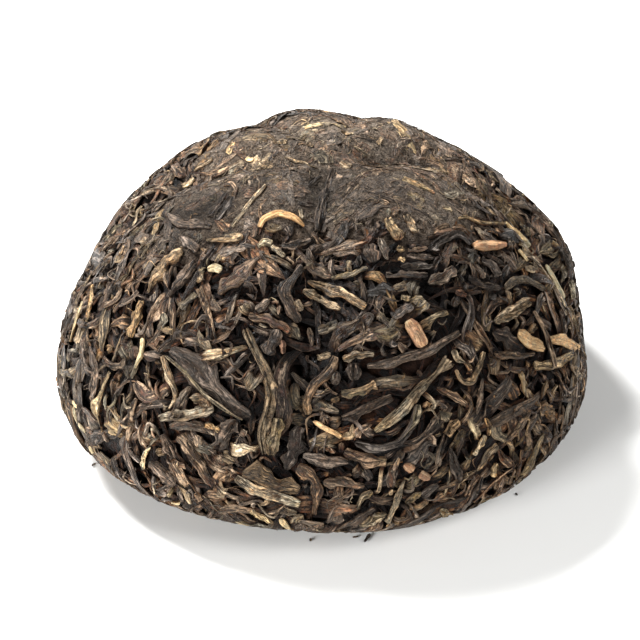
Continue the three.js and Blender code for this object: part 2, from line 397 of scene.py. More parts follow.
@functools.lru_cache(maxsize=None)
def photo_heading(pixel, angle):
    """Direction at a pixel, and the heading on the nest of a line at an angle in the photograph."""
    turn, run = math.radians(angle), 6.0
    ahead = (pixel[0] + run * math.cos(turn), pixel[1] - run * math.sin(turn))
    here, there = photo_directions([pixel, ahead])
    east, north = compass(here[None])
    return here, math.atan2(float((there - here) @ north[0]), float((there - here) @ east[0]))


def compass(directions):
    """East and north on the nest at directions."""
    pole = np.where(np.abs(directions[:, 2:]) < 0.97, [0.0, 0.0, 1.0], [0.0, 1.0, 0.0])
    east = unit(np.cross(pole, directions))
    return east, np.cross(directions, east)


def leaf_lines(surface, middles, headings, lengths, bows, waves, kinks, kinks_at):
    """Directions of the samples along each leaf's line."""
    east, north = compass(middles)
    along = east * np.cos(headings)[:, None] + north * np.sin(headings)[:, None]
    aside = np.cross(middles, along)
    s = np.linspace(-0.5, 0.5, LINE_SAMPLES)
    sideways = bows[:, None] * (0.33 - 4.0 * s**2) + waves[:, None] * np.sin(2.0 * math.pi * s)
    sideways = sideways + kinks[:, None] * np.hypot(s - kinks_at[:, None], KINK_ROUNDNESS)
    scale = lengths / USUAL_REACH
    for _ in range(3):
        forward = (s[None, :] * scale[:, None])[..., None] * along[:, None, :]
        bent = (sideways * scale[:, None])[..., None] * aside[:, None, :]
        directions = unit(middles[:, None, :] + forward + bent)
        points = surface["point"](directions)
        run = np.linalg.norm(np.diff(points, axis=1), axis=2).sum(axis=1)
        scale = scale * lengths / np.maximum(run, 1e-3)
    return directions


class Bed:
    """Levels of the leaves laid so far from the pressed outside, and where a leaf that stands out lies."""

    margin = 3.0
    bare = -50.0

    def __init__(self):
        self.low = BOX_LOW - self.margin
        self.shape = np.ceil((BOX_HIGH - BOX_LOW + 2.0 * self.margin) / CELL).astype(int)
        self.levels = np.full(int(np.prod(self.shape)), self.bare, dtype=np.float32)
        self.topped = np.zeros(len(self.levels), dtype=bool)

    def cells(self, points):
        """Cells of the bed that points of the surface lie in."""
        index = ((points - self.low) / CELL).astype(int)
        index = np.clip(index, 0, self.shape - 1)
        return (index[..., 0] * self.shape[1] + index[..., 1]) * self.shape[2] + index[..., 2]


BED = Bed()


def smoothing_matrix(samples, sigma):
    """Matrix that smooths a row of samples, as a leaf's stiffness does."""
    gap = np.subtract.outer(np.arange(samples), np.arange(samples))
    weight = np.exp(-0.5 * (gap / sigma) ** 2)
    return weight / weight.sum(axis=1, keepdims=True)


STIFFNESS = smoothing_matrix(LINE_SAMPLES, 2.4)
ACROSS = np.linspace(-0.5, 0.5, 9)

# How a leaf passes beneath what lies too high, in shares of its thickness, and under leaves that stand out.
CROSSING = 0.35
RESTING = 0.5
DIVING = 0.9
TOPPED_DIVE = 0.5
TOPPED_SHARE = 0.1
TOPPED_FLATNESS = 0.3
TOPPED_RISE = 0.25

# A share that no crossing reaches: with it every leaf is laid.
ALL_LAID = 1.1

# How a leaf keeps its edges and top under the cloth, in millimetres.
EDGE_RISE = 0.4
CLOTH_GIVE = 0.3
CREASE_ANGLE = math.radians(30.0)

# Painted shade on the leaves: how they darken with depth, on their undersides and beside taller leaves, and
# which hues fade most.
DEPTH_SHADE = 0.96
SHADED_DEPTH = 1.15
UNDERSIDE = 0.09
UNDERSIDE_RISE = (-0.65, 0.55)
CROWD_SHADE = 0.88
CROWD_RISE = (-0.1, 0.7)
CROWD_GAPS = (0.2, 0.6, 1.0)
SHADE_HUES = np.array([0.8, 1.07, 1.33])


class Laid:
    """Leaves that lie in the bed: the lines they follow, their sizes, kinds and looks."""

    def __init__(self):
        self.rows = {}

    def add(self, **values):
        """Adds one leaf."""
        for name, value in values.items():
            self.rows.setdefault(name, []).append(value)

    def arrays(self, kind=None):
        """All the leaves, or those of one kind, with one array for each value."""
        found = {name: np.array(values) for name, values in self.rows.items()}
        if kind is None:
            return found
        chosen = found["kind"] == kind
        return {name: values[chosen] for name, values in found.items()}


def lay_leaves(surface, directions, leaves, core_depth, laid, refuse, on_top=False):
    """Lays leaves one after another: each follows what it lies on, and passes under what is too high."""
    points = surface["point"](directions)
    normals = surface_normals(surface, directions)
    tangents = unit(np.gradient(points, axis=1))
    sides = unit(np.cross(tangents, normals))
    offsets = ACROSS[None, None, :, None] * leaves["width"][:, None, None, None]
    cells = BED.cells(points[:, :, None, :] + offsets * sides[:, :, None, :])
    bulge = 0.5 * np.sqrt(np.maximum(1.0 - (2.0 * ACROSS * 0.95) ** 2, 0.0))
    for i in range(len(points)):
        row = {name: values[i] for name, values in leaves.items()}
        thickness, cap = row["thickness"], row["cap"]
        under = np.maximum(BED.levels[cells[i]].max(axis=1), -core_depth[i])
        crossed = under > cap - CROSSING * thickness
        topped = BED.topped[cells[i]].mean(axis=1) > TOPPED_SHARE
        if not on_top:
            crossed |= topped
        if crossed.mean() > refuse:
            continue
        beneath = under - DIVING * thickness - TOPPED_DIVE * topped
        level = np.where(crossed, beneath, under + RESTING * thickness)
        if on_top:
            level = np.maximum(level, cap - 0.5 * thickness - TOPPED_RISE)
            BED.topped[cells[i]] = True
        for _ in range(2):
            level[1:-1] = np.maximum(level[1:-1], 0.5 * (level[:-2] + level[2:]))
        level = np.minimum(STIFFNESS @ level, cap - 0.5 * thickness)
        top = level[:, None] + thickness * bulge[None, :]
        BED.levels[cells[i]] = np.maximum(BED.levels[cells[i]], top)
        if topped.any() and not on_top:
            row.update({name: TOPPED_FLATNESS * row[name] for name in ("roll", "twist", "curl")})
        laid.add(points=points[i], normals=normals[i], level=level, **row)


def bed_levels(directions):
    """Levels of the leaves laid so far at directions."""
    return np.maximum(BED.levels[BED.cells(dome_point(directions))], -LOOSE_CORE_DEPTH)


def core_depths(directions):
    """Depth of the core under the pressed outside."""
    return PRESSED_CORE_DEPTH + (LOOSE_CORE_DEPTH - PRESSED_CORE_DEPTH) * looseness(directions)


# Leaves as meshes.

TIP_SHARES = (0.35, 1.7)
TAPER_REACH = (0.06, 0.5)
TAPER_ROUNDNESS = 0.7
UNEVENNESS = 0.18
SMOOTH_CRINKLE = 0.1

# A leaf's section, in shares of its width and thickness, and its grain.
SECTION_ROUNDNESS = 0.8
SECTION_UNEVENNESS = 0.15
CURL_MIDDLE = 0.45
GROOVE_REACH = 0.22
GROOVE_WIDTH = 0.12
UPPER_SIDE = -0.2
GIRTH = 2.2
GRAIN_PLACES = 90.0
RIM_SHARPNESS = 5

# How tones vary over a leaf: a paler half, a pale tip, mottling and a shift of hue.
HALF_BORDER = (0.35, 0.8)
TIP_START = (0.55, 0.95)
TIP_FADE = 0.15
MOTTLE_ALONG = 0.25
MOTTLE_FINE = 0.28
HUE_SHIFT = 0.09


def ring_samples(rings):
    """Which samples of a leaf's line its rings stand at."""
    return np.linspace(0, LINE_SAMPLES - 1, rings).round().astype(int)


def ring_angles(sides):
    """Angles of a ring's corners, from the middle of the underside."""
    return -0.5 * math.pi + 2.0 * math.pi * np.arange(sides) / sides


def leaf_taper(rng, rows, s):
    """Width and thickness of each leaf at its rings, less towards both ends."""
    count, rings = len(rows["length"]), s.shape[1]
    tips = np.minimum(rows["tip"][:, None] * rng.uniform(*TIP_SHARES, (count, 2)), 0.95)
    span = rng.uniform(*TAPER_REACH, (count, 2))
    head = tips[:, :1] + (1 - tips[:, :1]) * np.clip(s / span[:, :1], 0, 1) ** TAPER_ROUNDNESS
    tail = tips[:, 1:] + (1 - tips[:, 1:]) * np.clip((1 - s) / span[:, 1:], 0, 1) ** TAPER_ROUNDNESS
    width = rows["width"][:, None] * head * tail
    uneven = 1.0 + UNEVENNESS * wander(rng, count, rings, 5)
    return width, rows["thickness"][:, None] * (head * tail) ** 0.5 * uneven


def leaf_sections(rng, rows, rings, sides, rough):
    """Outline of each leaf at its rings in shares of its width and thickness: curled, folded and crinkled."""
    count = len(rows["length"])
    each = {name: rows[name][:, None, None] for name in ("curl", "fold", "folds", "groove", "crinkle")}
    across, high = (part(ring_angles(sides))[None, None, :] for part in (np.cos, np.sin))
    left, right = (wander(rng, count, rings, 6)[..., None] for _ in range(2))
    x = 0.5 * across * (1.0 + UNEVENNESS * rough * np.where(across > 0, right, left))
    bumps = 1.0 + SECTION_UNEVENNESS * rng.normal(size=(count, 1, sides))
    y = 0.5 * np.sign(high) * np.abs(high) ** SECTION_ROUNDNESS * bumps
    curl = each["curl"] * (1.0 + 0.5 * wander(rng, count, rings, 3)[..., None])
    y = y + curl * (4.0 * x**2 - CURL_MIDDLE)
    phase = rng.uniform(0.0, 1.0, (count, 1, 1)) + 0.25 * wander(rng, count, rings, 4)[..., None]
    folds = each["fold"] * np.cos(2.0 * math.pi * (each["folds"] * x + phase))
    groove_at = rng.uniform(-GROOVE_REACH, GROOVE_REACH, (count, 1, 1))
    groove_at = groove_at + 0.1 * wander(rng, count, rings, 3)[..., None]
    groove = each["groove"] * np.exp(-(((x - groove_at) / GROOVE_WIDTH) ** 2))
    y = y + np.where(high > UPPER_SIDE, folds - groove, 0.0)
    crinkle = rng.normal(size=(count, rings, sides)) * each["crinkle"]
    crinkle[:, 1:-1] = 0.6 * crinkle[:, 1:-1] + 0.2 * (crinkle[:, :-2] + crinkle[:, 2:])
    return x * (1.0 + 1.1 * crinkle), y + crinkle


def leaf_rings(rng, rows, rings, sides):
    """Corners of each leaf's rings, their places across and along the leaf, and how near the rim they are."""
    count, picks = len(rows["length"]), ring_samples(rings)
    centres = rows["points"][:, picks] + rows["normals"][:, picks] * rows["level"][:, picks, None]
    tangents = unit(np.gradient(centres, axis=1))
    side = unit(np.cross(tangents, rows["normals"][:, picks]))
    up = np.cross(side, tangents)
    s = np.linspace(0.0, 1.0, rings)[None, :]
    width, thickness = leaf_taper(rng, rows, s)
    rough = rows["crinkle"][:, None, None] / SMOOTH_CRINKLE
    x, y = leaf_sections(rng, rows, rings, sides, rough)
    roll = rows["roll"][:, None] + rows["twist"][:, None] * (s - 0.5)
    roll = roll + 0.3 * wander(rng, count, rings, 4) * rough[..., 0]
    most = np.arcsin(np.clip(EDGE_RISE / np.maximum(0.5 * width, 0.01), 0.0, 1.0))
    roll = (most * np.tanh(roll / most))[..., None]
    wide = x * width[..., None]
    rise = y * thickness[..., None]
    turned_x = wide * np.cos(roll) - rise * np.sin(roll)
    turned_y = wide * np.sin(roll) + rise * np.cos(roll)
    level = rows["level"][:, picks, None]
    over = np.maximum(level + turned_y - rows["cap"][:, None, None] + CLOTH_GIVE, 0.0)
    turned_y = turned_y - over + CLOTH_GIVE * np.tanh(over / CLOTH_GIVE)
    corners = centres[:, :, None, :] + side[:, :, None, :] * turned_x[..., None]
    corners = corners + up[:, :, None, :] * turned_y[..., None]
    girth = GIRTH * (np.arange(sides) / sides - 0.5)[None, None, :] * rows["width"][:, None, None]
    grain = np.stack(np.broadcast_arrays(
        girth * np.ones((1, rings, 1)),
        s[..., None] * rows["length"][:, None, None],
        rng.uniform(0.0, GRAIN_PLACES, (count, 1, 1)),
    ), axis=-1)
    turn = ring_angles(sides)
    edge = np.where(np.sin(turn) > -0.5, np.abs(np.cos(turn)) ** RIM_SHARPNESS, 0.0)
    return corners, grain, edge * np.ones((count, rings, 1))


def wander(rng, count, rings, knots):
    """Smooth uneven rows of numbers, about -1 to 1."""
    values = rng.normal(size=(count, knots))
    at = np.linspace(0, knots - 1, rings)
    low = np.minimum(at.astype(int), knots - 2)
    part = at - low
    part = part * part * (3.0 - 2.0 * part)
    return values[:, low] * (1.0 - part) + values[:, low + 1] * part


def ring_tones(rng, rows, rings, sides):
    """Tone, ridge colour and painted shade of every corner: a paler half and pale tips, and painted shade in
    the depths, on the undersides and beside taller leaves.
    """
    count = len(rows["length"])
    shape = (count, rings, sides)
    turn = ring_angles(sides)
    crest = rows["crest"][:, None, None, :]
    tone = rows["tone"][:, None, None, :] * np.ones((*shape, 1))
    facing = 0.5 + 0.5 * np.cos(turn) * rng.choice([-1.0, 1.0], count)[:, None]
    worn = np.clip(0.5 + 0.9 * wander(rng, count, rings, 4), 0, 1)[..., None]
    half = rows["half"][:, None, None] * worn * smoothstep(facing, *HALF_BORDER)[:, None, :]
    tone = tone + (crest - tone) * half[..., None]
    s = np.linspace(0.0, 1.0, rings)
    tip = np.clip((s - rng.uniform(*TIP_START, (count, 1))) / TIP_FADE, 0, 1) * rows["pale_tip"][:, None]
    tone = tone + (rows["tip_tone"][:, None, None, :] - tone) * tip[..., None, None]
    mottle = MOTTLE_ALONG * wander(rng, count, rings, 7)[..., None] + MOTTLE_FINE * rng.normal(size=shape)
    shade = np.exp(mottle * rows["mottle"][:, None, None])[..., None]
    tone = tone * (1.0 + HUE_SHIFT * rng.normal(size=(*shape, 1)) * np.array([1.0, 0.0, -1.0]))
    # Painted shade: darker with depth in the gaps, on the leaves' undersides and beside taller leaves.
    depth = smoothstep(-rows["level"][:, ring_samples(rings)], 0.0, SHADED_DEPTH)[..., None, None]
    sides_dark = UNDERSIDE + (1.0 - UNDERSIDE) * smoothstep(np.sin(turn), *UNDERSIDE_RISE)
    crowded = 1.0 - CROWD_SHADE * smoothstep(crowding(rows, rings, sides), *CROWD_RISE)[..., None]
    dark = (1.0 - DEPTH_SHADE * depth) * crowded * sides_dark[None, None, :, None]
    # The painted shade, with the patches' darkness, also dims the dust and flecks.
    veil = dark * rows["veil"][:, None, None, None]
    return tone * shade * dark**SHADE_HUES, crest * dark**SHADE_HUES, veil


def crowding(rows, rings, sides):
    """How far the leaves beside each corner of a leaf stand above the leaf, in millimetres."""
    picks = ring_samples(rings)
    points, normals = rows["points"][:, picks], rows["normals"][:, picks]
    side = unit(np.cross(unit(np.gradient(points, axis=1)), normals))
    lying = rows["level"][:, picks] + 0.25 * rows["thickness"][:, None]
    share = 0.5 + 0.5 * np.cos(ring_angles(sides))
    rise = 0.0
    for sign, part in ((-1.0, 1.0 - share), (1.0, share)):
        stands = 0.0
        for gap in CROWD_GAPS:
            beside = points + sign * side * (0.5 * rows["width"][:, None, None] + gap)
            stands = stands + np.maximum(BED.levels[BED.cells(beside)] - lying, -1.0) / len(CROWD_GAPS)
        rise = rise + stands[..., None] * part
    return rise


def join_leaves(name, rng, rows, rings, sides, material):
    """One mesh piece out of many leaves."""
    corners, grain, edge = leaf_rings(rng, rows, rings, sides)
    tones, crests, painted_shades_and_tones = ring_tones(rng, rows, rings, sides)
    count = len(corners)
    per_leaf = rings * sides
    _, _, here, there = tube_grid(rings, sides)
    quads = np.stack([here, there, there + sides, here + sides], axis=-1).reshape(-1, 4)
    start_cap = np.arange(sides)[::-1]
    end_cap = (rings - 1) * sides + np.arange(sides)
    loops_one = np.concatenate([quads.ravel(), start_cap, end_cap])
    loops = (loops_one[None, :] + per_leaf * np.arange(count)[:, None]).ravel()
    sizes = np.tile(np.concatenate([np.full(len(quads), 4), [sides, sides]]), count)
    mesh = mesh_from_loops(name, corners, loops, sizes, leaf_atlas(count, rings, sides, quads))
    add_attribute(mesh, "leaf_grain", "FLOAT_VECTOR", "vector", grain)
    for label, colours in (("leaf_tone", tones), ("leaf_crest", crests)):
        opaque = np.ones((*colours.shape[:-1], 1))
        add_attribute(mesh, label, "FLOAT_COLOR", "color", np.concatenate([colours, opaque], axis=-1))
    # leaf_shade holds the painted shade, which dims dust and flecks in the material.
    for label, values in (("leaf_edge", edge), ("leaf_shade", painted_shades_and_tones)):
        add_attribute(mesh, label, "FLOAT", "value", values)
    finish_piece(name, mesh, material)


def tube_grid(rings, sides):
    """Near ring, place round it and two near corners of every face of a tube."""
    ring, around = np.meshgrid(np.arange(rings - 1), np.arange(sides), indexing="ij")
    return ring, around, ring * sides + around, ring * sides + (around + 1) % sides


def leaf_atlas(count, rings, sides, quads):
    """Texture places of every loop: one tile for each leaf, with its ends in the tile's own margins."""
    columns = max(1, int(math.ceil(math.sqrt(count * 3.0))))
    rows = int(math.ceil(count / columns))
    ring = quads[:, 0] // sides
    around = quads[:, 0] % sides
    left, right = around / sides, (around + 1) / sides
    low, high = ring / (rings - 1), (ring + 1) / (rings - 1)
    u = np.stack([left, right, right, left], axis=-1).ravel()
    v = np.stack([low, low, high, high], axis=-1).ravel()
    turn = 2.0 * math.pi * np.arange(sides) / sides
    u_one = np.concatenate([0.06 + 0.88 * u, 0.5 - 0.4 * np.cos(turn), 0.5 + 0.4 * np.cos(turn)])
    v_one = np.concatenate([0.1 + 0.8 * v, 0.05 - 0.03 * np.sin(turn), 0.95 + 0.03 * np.sin(turn)])
    tile = np.arange(count)
    u_all = (tile % columns)[:, None] + u_one[None, :]
    v_all = (tile // columns)[:, None] + v_one[None, :]
    return np.stack([u_all / columns, v_all / rows], axis=-1).reshape(-1, 2)


def mesh_from_loops(name, corners, loops, sizes, uv):
    """Mesh out of corners in millimetres, held inside the nest's box."""
    held = np.clip(corners.reshape(-1, 3), BOX_LOW + BOX_MARGIN, BOX_HIGH - BOX_MARGIN) * MM
    mesh = bpy.data.meshes.new(name)
    mesh.vertices.add(len(held))
    mesh.vertices.foreach_set("co", held.astype(np.float32).ravel())
    mesh.loops.add(len(loops))
    mesh.loops.foreach_set("vertex_index", loops.astype(np.int32))
    mesh.polygons.add(len(sizes))
    starts = np.concatenate([[0], np.cumsum(sizes)[:-1]])
    mesh.polygons.foreach_set("loop_start", starts.astype(np.int32))
    mesh.update(calc_edges=True)
    layer = mesh.uv_layers.new(name="OFBake")
    layer.data.foreach_set("uv", uv.astype(np.float32).ravel())
    mesh.shade_smooth()
    mesh.set_sharp_from_angle(angle=CREASE_ANGLE)
    return mesh


def add_attribute(mesh, name, kind, field, values):
    """Value for every corner point of a mesh."""
    attribute = mesh.attributes.new(name, kind, "POINT")
    attribute.data.foreach_set(field, values.astype(np.float32).ravel())


def finish_piece(name, mesh, material):
    """Object for a mesh, in the nest's body and in place of its solid."""
    mesh.materials.append(material)
    piece = bpy.data.objects.new(name, mesh)
    bpy.context.scene.collection.objects.link(piece)
    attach(piece, BODY)
    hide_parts(NODE)


# Materials.

def new_group(name, inputs, outputs):
    """Empty shader node group that puts out values, and its two end nodes."""
    tree = bpy.data.node_groups.new(name, "ShaderNodeTree")
    for label, kind, default in inputs:
        socket = tree.interface.new_socket(label, in_out="INPUT", socket_type=kind)
        if default is not None:
            socket.default_value = default
    for label in outputs:
        tree.interface.new_socket(label, in_out="OUTPUT", socket_type="NodeSocketFloat")
    return tree, tree.nodes.new("NodeGroupInput"), tree.nodes.new("NodeGroupOutput")


def math_node(tree, operation, first, second=None, clamp=False):
    """Math node on two values or sockets."""
    node = tree.nodes.new("ShaderNodeMath")
    node.operation = operation
    node.use_clamp = clamp
    for socket, value in zip(node.inputs, (first, second)):
        if value is None:
            continue
        if isinstance(value, (int, float)):
            socket.default_value = value
        else:
            tree.links.new(value, socket)
    return node.outputs[0]


def times(tree, first, second, clamp=False):
    """Product of two values or sockets."""
    return math_node(tree, "MULTIPLY", first, second, clamp)


def plus(tree, first, second):
    """Sum of two values or sockets."""
    return math_node(tree, "ADD", first, second)


def mix_colour(tree, factor, first, second, blend="MIX"):
    """Mix node on two colours or sockets."""
    node = tree.nodes.new("ShaderNodeMix")
    node.data_type = "RGBA"
    node.blend_type = blend
    for socket, value in zip((node.inputs[0], node.inputs[6], node.inputs[7]), (factor, first, second)):
        if isinstance(value, (int, float)):
            socket.default_value = value
        elif isinstance(value, tuple):
            socket.default_value = (*value, 1.0)
        else:
            tree.links.new(value, socket)
    return node.outputs[2]


def noise_node(tree, vector, scale, detail=2.0, roughness=0.55, distortion=0.0):
    """Noise value at a place."""
    node = tree.nodes.new("ShaderNodeTexNoise")
    node.inputs["Scale"].default_value = scale
    node.inputs["Detail"].default_value = detail
    node.inputs["Roughness"].default_value = roughness
    node.inputs["Distortion"].default_value = distortion
    tree.links.new(vector, node.inputs["Vector"])
    return node.outputs["Fac"]


def range_node(tree, value, low, high, to_low=0.0, to_high=1.0):
    """Value mapped from one range to another and held there."""
    node = tree.nodes.new("ShaderNodeMapRange")
    for index, number in enumerate((low, high, to_low, to_high), start=1):
        node.inputs[index].default_value = number
    tree.links.new(value, node.inputs[0])
    return node.outputs[0]


def scaled_vector(tree, vector, factors):
    """Vector with each part scaled."""
    node = tree.nodes.new("ShaderNodeVectorMath")
    node.operation = "MULTIPLY"
    node.inputs[1].default_value = factors
    tree.links.new(vector, node.inputs[0])
    return node.outputs[0]


def turned_vector(tree, vector, turn, factors):
    """Vector turned about the upright and then with each part scaled."""
    node = tree.nodes.new("ShaderNodeVectorRotate")
    node.rotation_type = "Z_AXIS"
    node.inputs["Angle"].default_value = turn
    tree.links.new(vector, node.inputs["Vector"])
    return scaled_vector(tree, node.outputs["Vector"], factors)


def leaf_grain_group():
    """Long ridges, creases, wrinkles and flecks of a dried leaf, from its place across and along it."""
    tree, start, end = new_group(
        "Leaf grain",
        [("Grain", "NodeSocketVector", None), ("Edge", "NodeSocketFloat", 0.0)],
        ("Ridge", "Crease", "Wrinkle", "Relief", "Rim", "Fleck"),
    )

    def noise(factors, *looks):
        """Noise over the leaf, stretched by factors."""
        return noise_node(tree, scaled_vector(tree, start.outputs["Grain"], factors), 1.0, *looks)

    long = noise((2.1, 0.24, 1.7), 2.0, 0.55, 0.5)
    fine = noise((3.4, 0.5, 3.1), 3.0, 0.65, 0.5)
    specks = noise((2.2, 1.4, 4.7), 3.0, 0.65, 0.4)
    worn = noise((0.6, 0.22, 2.3), 2.0, 0.5)
    ridge = range_node(tree, plus(tree, long, times(tree, fine, 0.35)), 0.6, 0.8)
    away = math_node(tree, "ABSOLUTE", math_node(tree, "SUBTRACT", long, 0.49))
    crease = range_node(tree, away, 0.0, 0.07, 1.0, 0.0)
    wrinkle = range_node(tree, plus(tree, times(tree, fine, 0.5), times(tree, specks, 0.5)), 0.41, 0.59)
    relief = plus(tree, times(tree, ridge, 0.5), times(tree, wrinkle, 0.3))
    relief = math_node(tree, "SUBTRACT", relief, times(tree, crease, 0.45))
    rim = times(tree, start.outputs["Edge"], range_node(tree, worn, 0.44, 0.58))
    fleck = range_node(tree, noise((2.6, 1.3, 5.3), 1.0), 0.66, 0.74)
    for index, value in enumerate((ridge, crease, wrinkle, relief, rim, fleck)):
        tree.links.new(value, end.inputs[index])
    return tree


def leaf_dust_group():
    """Masks of the pale dust on the nest, and of the fine lint that pressing leaves."""
    tree, start, end = new_group("Leaf dust", [("Amount", "NodeSocketFloat", 0.3)], ("Mask", "Lint"))
    place = tree.nodes.new("ShaderNodeTexCoord").outputs["Object"]
    broad = noise_node(tree, place, 90.0, 3.0, 0.6)
    fine = noise_node(tree, place, 1300.0, 2.0, 0.7)
    both = range_node(tree, plus(tree, times(tree, broad, 0.5), times(tree, fine, 0.5)), 0.42, 0.66)
    mask = times(tree, both, start.outputs["Amount"], clamp=True)
    lint = noise_node(tree, place, 1900.0, 4.0, 0.8)
    for turn in (0.35, 1.4, 2.45):
        strand = noise_node(tree, turned_vector(tree, place, turn, (4200.0, 600.0, 1900.0)), 1.0, 1.0)
        lint = math_node(tree, "MAXIMUM", lint, times(tree, strand, 0.98))
    tree.links.new(mask, end.inputs["Mask"])
    tree.links.new(range_node(tree, lint, 0.46, 0.64), end.inputs["Lint"])
    return tree


def use_group(tree, group):
    """Node that holds a group."""
    node = tree.nodes.new("ShaderNodeGroup")
    node.node_tree = group
    return node


def attribute_node(tree, name, output):
    """Attribute of the mesh."""
    node = tree.nodes.new("ShaderNodeAttribute")
    node.attribute_name = name
    return node.outputs[output]


SOCKETS = {
    "colour": "Base Color", "roughness": "Roughness", "gloss": "Specular IOR Level", "nap": "Sheen Weight",
}
NAP_ROUGHNESS = 0.45
NAP_TINT = (1.0, 0.9, 0.8, 1.0)


def new_material(name, **constants):
    """Material with its tree and its shader, which takes the constants."""
    material = bpy.data.materials.new(name)
    material.use_nodes = True
    shader = material.node_tree.nodes["Principled BSDF"]
    for label, value in constants.items():
        shader.inputs[SOCKETS[label]].default_value = value
    return material, material.node_tree, shader


def finish_leaf(tree, shader, colour, height, relief):
    """Colour, relief in millimetres and lint that catches light at a low angle."""
    shader.inputs["Sheen Roughness"].default_value = NAP_ROUGHNESS
    shader.inputs["Sheen Tint"].default_value = NAP_TINT
    bump = tree.nodes.new("ShaderNodeBump")
    bump.inputs["Strength"].default_value = 1.0
    bump.inputs["Distance"].default_value = relief * MM
    tree.links.new(height, bump.inputs["Height"])
    tree.links.new(bump.outputs["Normal"], shader.inputs["Normal"])
    tree.links.new(colour, shader.inputs["Base Color"])


def shaded(tree, colour, value):
    """Colour made lighter or darker by a value."""
    node = tree.nodes.new("ShaderNodeCombineColor")
    for socket in node.inputs:
        tree.links.new(value, socket)
    return mix_colour(tree, 1.0, colour, node.outputs[0], "MULTIPLY")


def dust_on(tree, groups, amount):
    """Node that holds the dust and the lint."""
    node = use_group(tree, groups["dust"])
    node.inputs["Amount"].default_value = amount
    return node


def leaf_material(
        name, groups, colours, dust, roughness=0.6, contrast=1.0, relief=0.6, rim=0.7, fuzz=0.0, nap=0.015):
    """Dried leaf in the tones of its mesh, which hold painted shade, with ridges partly painted as
    highlights, painted shade in the creases, worn pale rims, dust and relief.
    """
    material, tree, shader = new_material(name, gloss=0.18, nap=nap)
    grain = use_group(tree, groups["grain"])
    tree.links.new(attribute_node(tree, "leaf_grain", "Vector"), grain.inputs["Grain"])
    tree.links.new(attribute_node(tree, "leaf_edge", "Fac"), grain.inputs["Edge"])
    dusty = dust_on(tree, groups, dust)
    tone = attribute_node(tree, "leaf_tone", "Color")
    crest = attribute_node(tree, "leaf_crest", "Color")
    ridge, crease, wrinkle, height, worn, fleck = grain.outputs
    # The ridges take the crest colour: the leaves' paler worn ridges, and partly a painted highlight on them.
    colour = mix_colour(tree, times(tree, ridge, 0.6 * contrast), tone, crest)
    fine = range_node(tree, wrinkle, 0.0, 1.0, 1.0 - 0.75 * contrast, 1.0 + 0.9 * contrast)
    # Painted shade in the creases.
    dark = range_node(tree, crease, 0.0, 1.0, 1.0, 1.0 - 0.8 * contrast)
    colour = shaded(tree, colour, times(tree, fine, dark))
    colour = mix_colour(tree, times(tree, worn, rim), colour, crest)
    # Dust and flecks fade where the leaf's painted shade is.
    lit = attribute_node(tree, "leaf_shade", "Fac")
    colour = mix_colour(tree, times(tree, fleck, times(tree, lit, 0.3)), colour, tuple(colours.fleck))
    colour = mix_colour(tree, times(tree, dusty.outputs["Mask"], lit), colour, tuple(colours.dust))
    if fuzz:
        lint = dusty.outputs["Lint"]
        colour = shaded(tree, colour, range_node(tree, lint, 0.0, 1.0, 1.0 - fuzz, 1.0 + fuzz))
        height = plus(tree, height, times(tree, lint, 0.8))
    rough = range_node(tree, wrinkle, 0.0, 1.0, roughness - 0.08, roughness + 0.12)
    tree.links.new(rough, shader.inputs["Roughness"])
    finish_leaf(tree, shader, colour, height, relief)
    return material


def core_material(groups, colours):
    """Packed leaf: near black as painted shade in the gaps between the loose leaves, brown where it's pressed
    flat.
    """
    material, tree, shader = new_material("Packed leaf core", roughness=0.8, gloss=0.1, nap=0.03)
    dusty = dust_on(tree, groups, 0.5)
    place = tree.nodes.new("ShaderNodeTexCoord").outputs["Object"]
    mottle = range_node(tree, noise_node(tree, place, 500.0, 4.0, 0.7), 0.38, 0.64)
    # Near-black core colours: painted shade in the gaps.
    loose = mix_colour(tree, mottle, tuple(colours.core), tuple(colours.core_pale))
    crust = mix_colour(tree, mottle, tuple(colours.crust), tuple(colours.crust_pale))
    crust = mix_colour(tree, dusty.outputs["Mask"], crust, tuple(colours.dust))
    crust = shaded(tree, crust, range_node(tree, dusty.outputs["Lint"], 0.0, 1.0, 0.15, 1.85))
    colour = mix_colour(tree, attribute_node(tree, "pressed", "Fac"), loose, crust)
    # The patches' tones, partly painted light and shade.
    colour = shaded(tree, colour, attribute_node(tree, "core_tone", "Fac"))
    finish_leaf(tree, shader, colour, plus(tree, times(tree, dusty.outputs["Lint"], 0.5), mottle), 0.3)
    return material


# What a user may change.

def colour_property(name, description, code):
    """Colour setting with its default."""
    return bpy.props.FloatVectorProperty(
        name=name, description=description, subtype="COLOR", size=3, min=0.0, max=1.0, default=srgb(code))


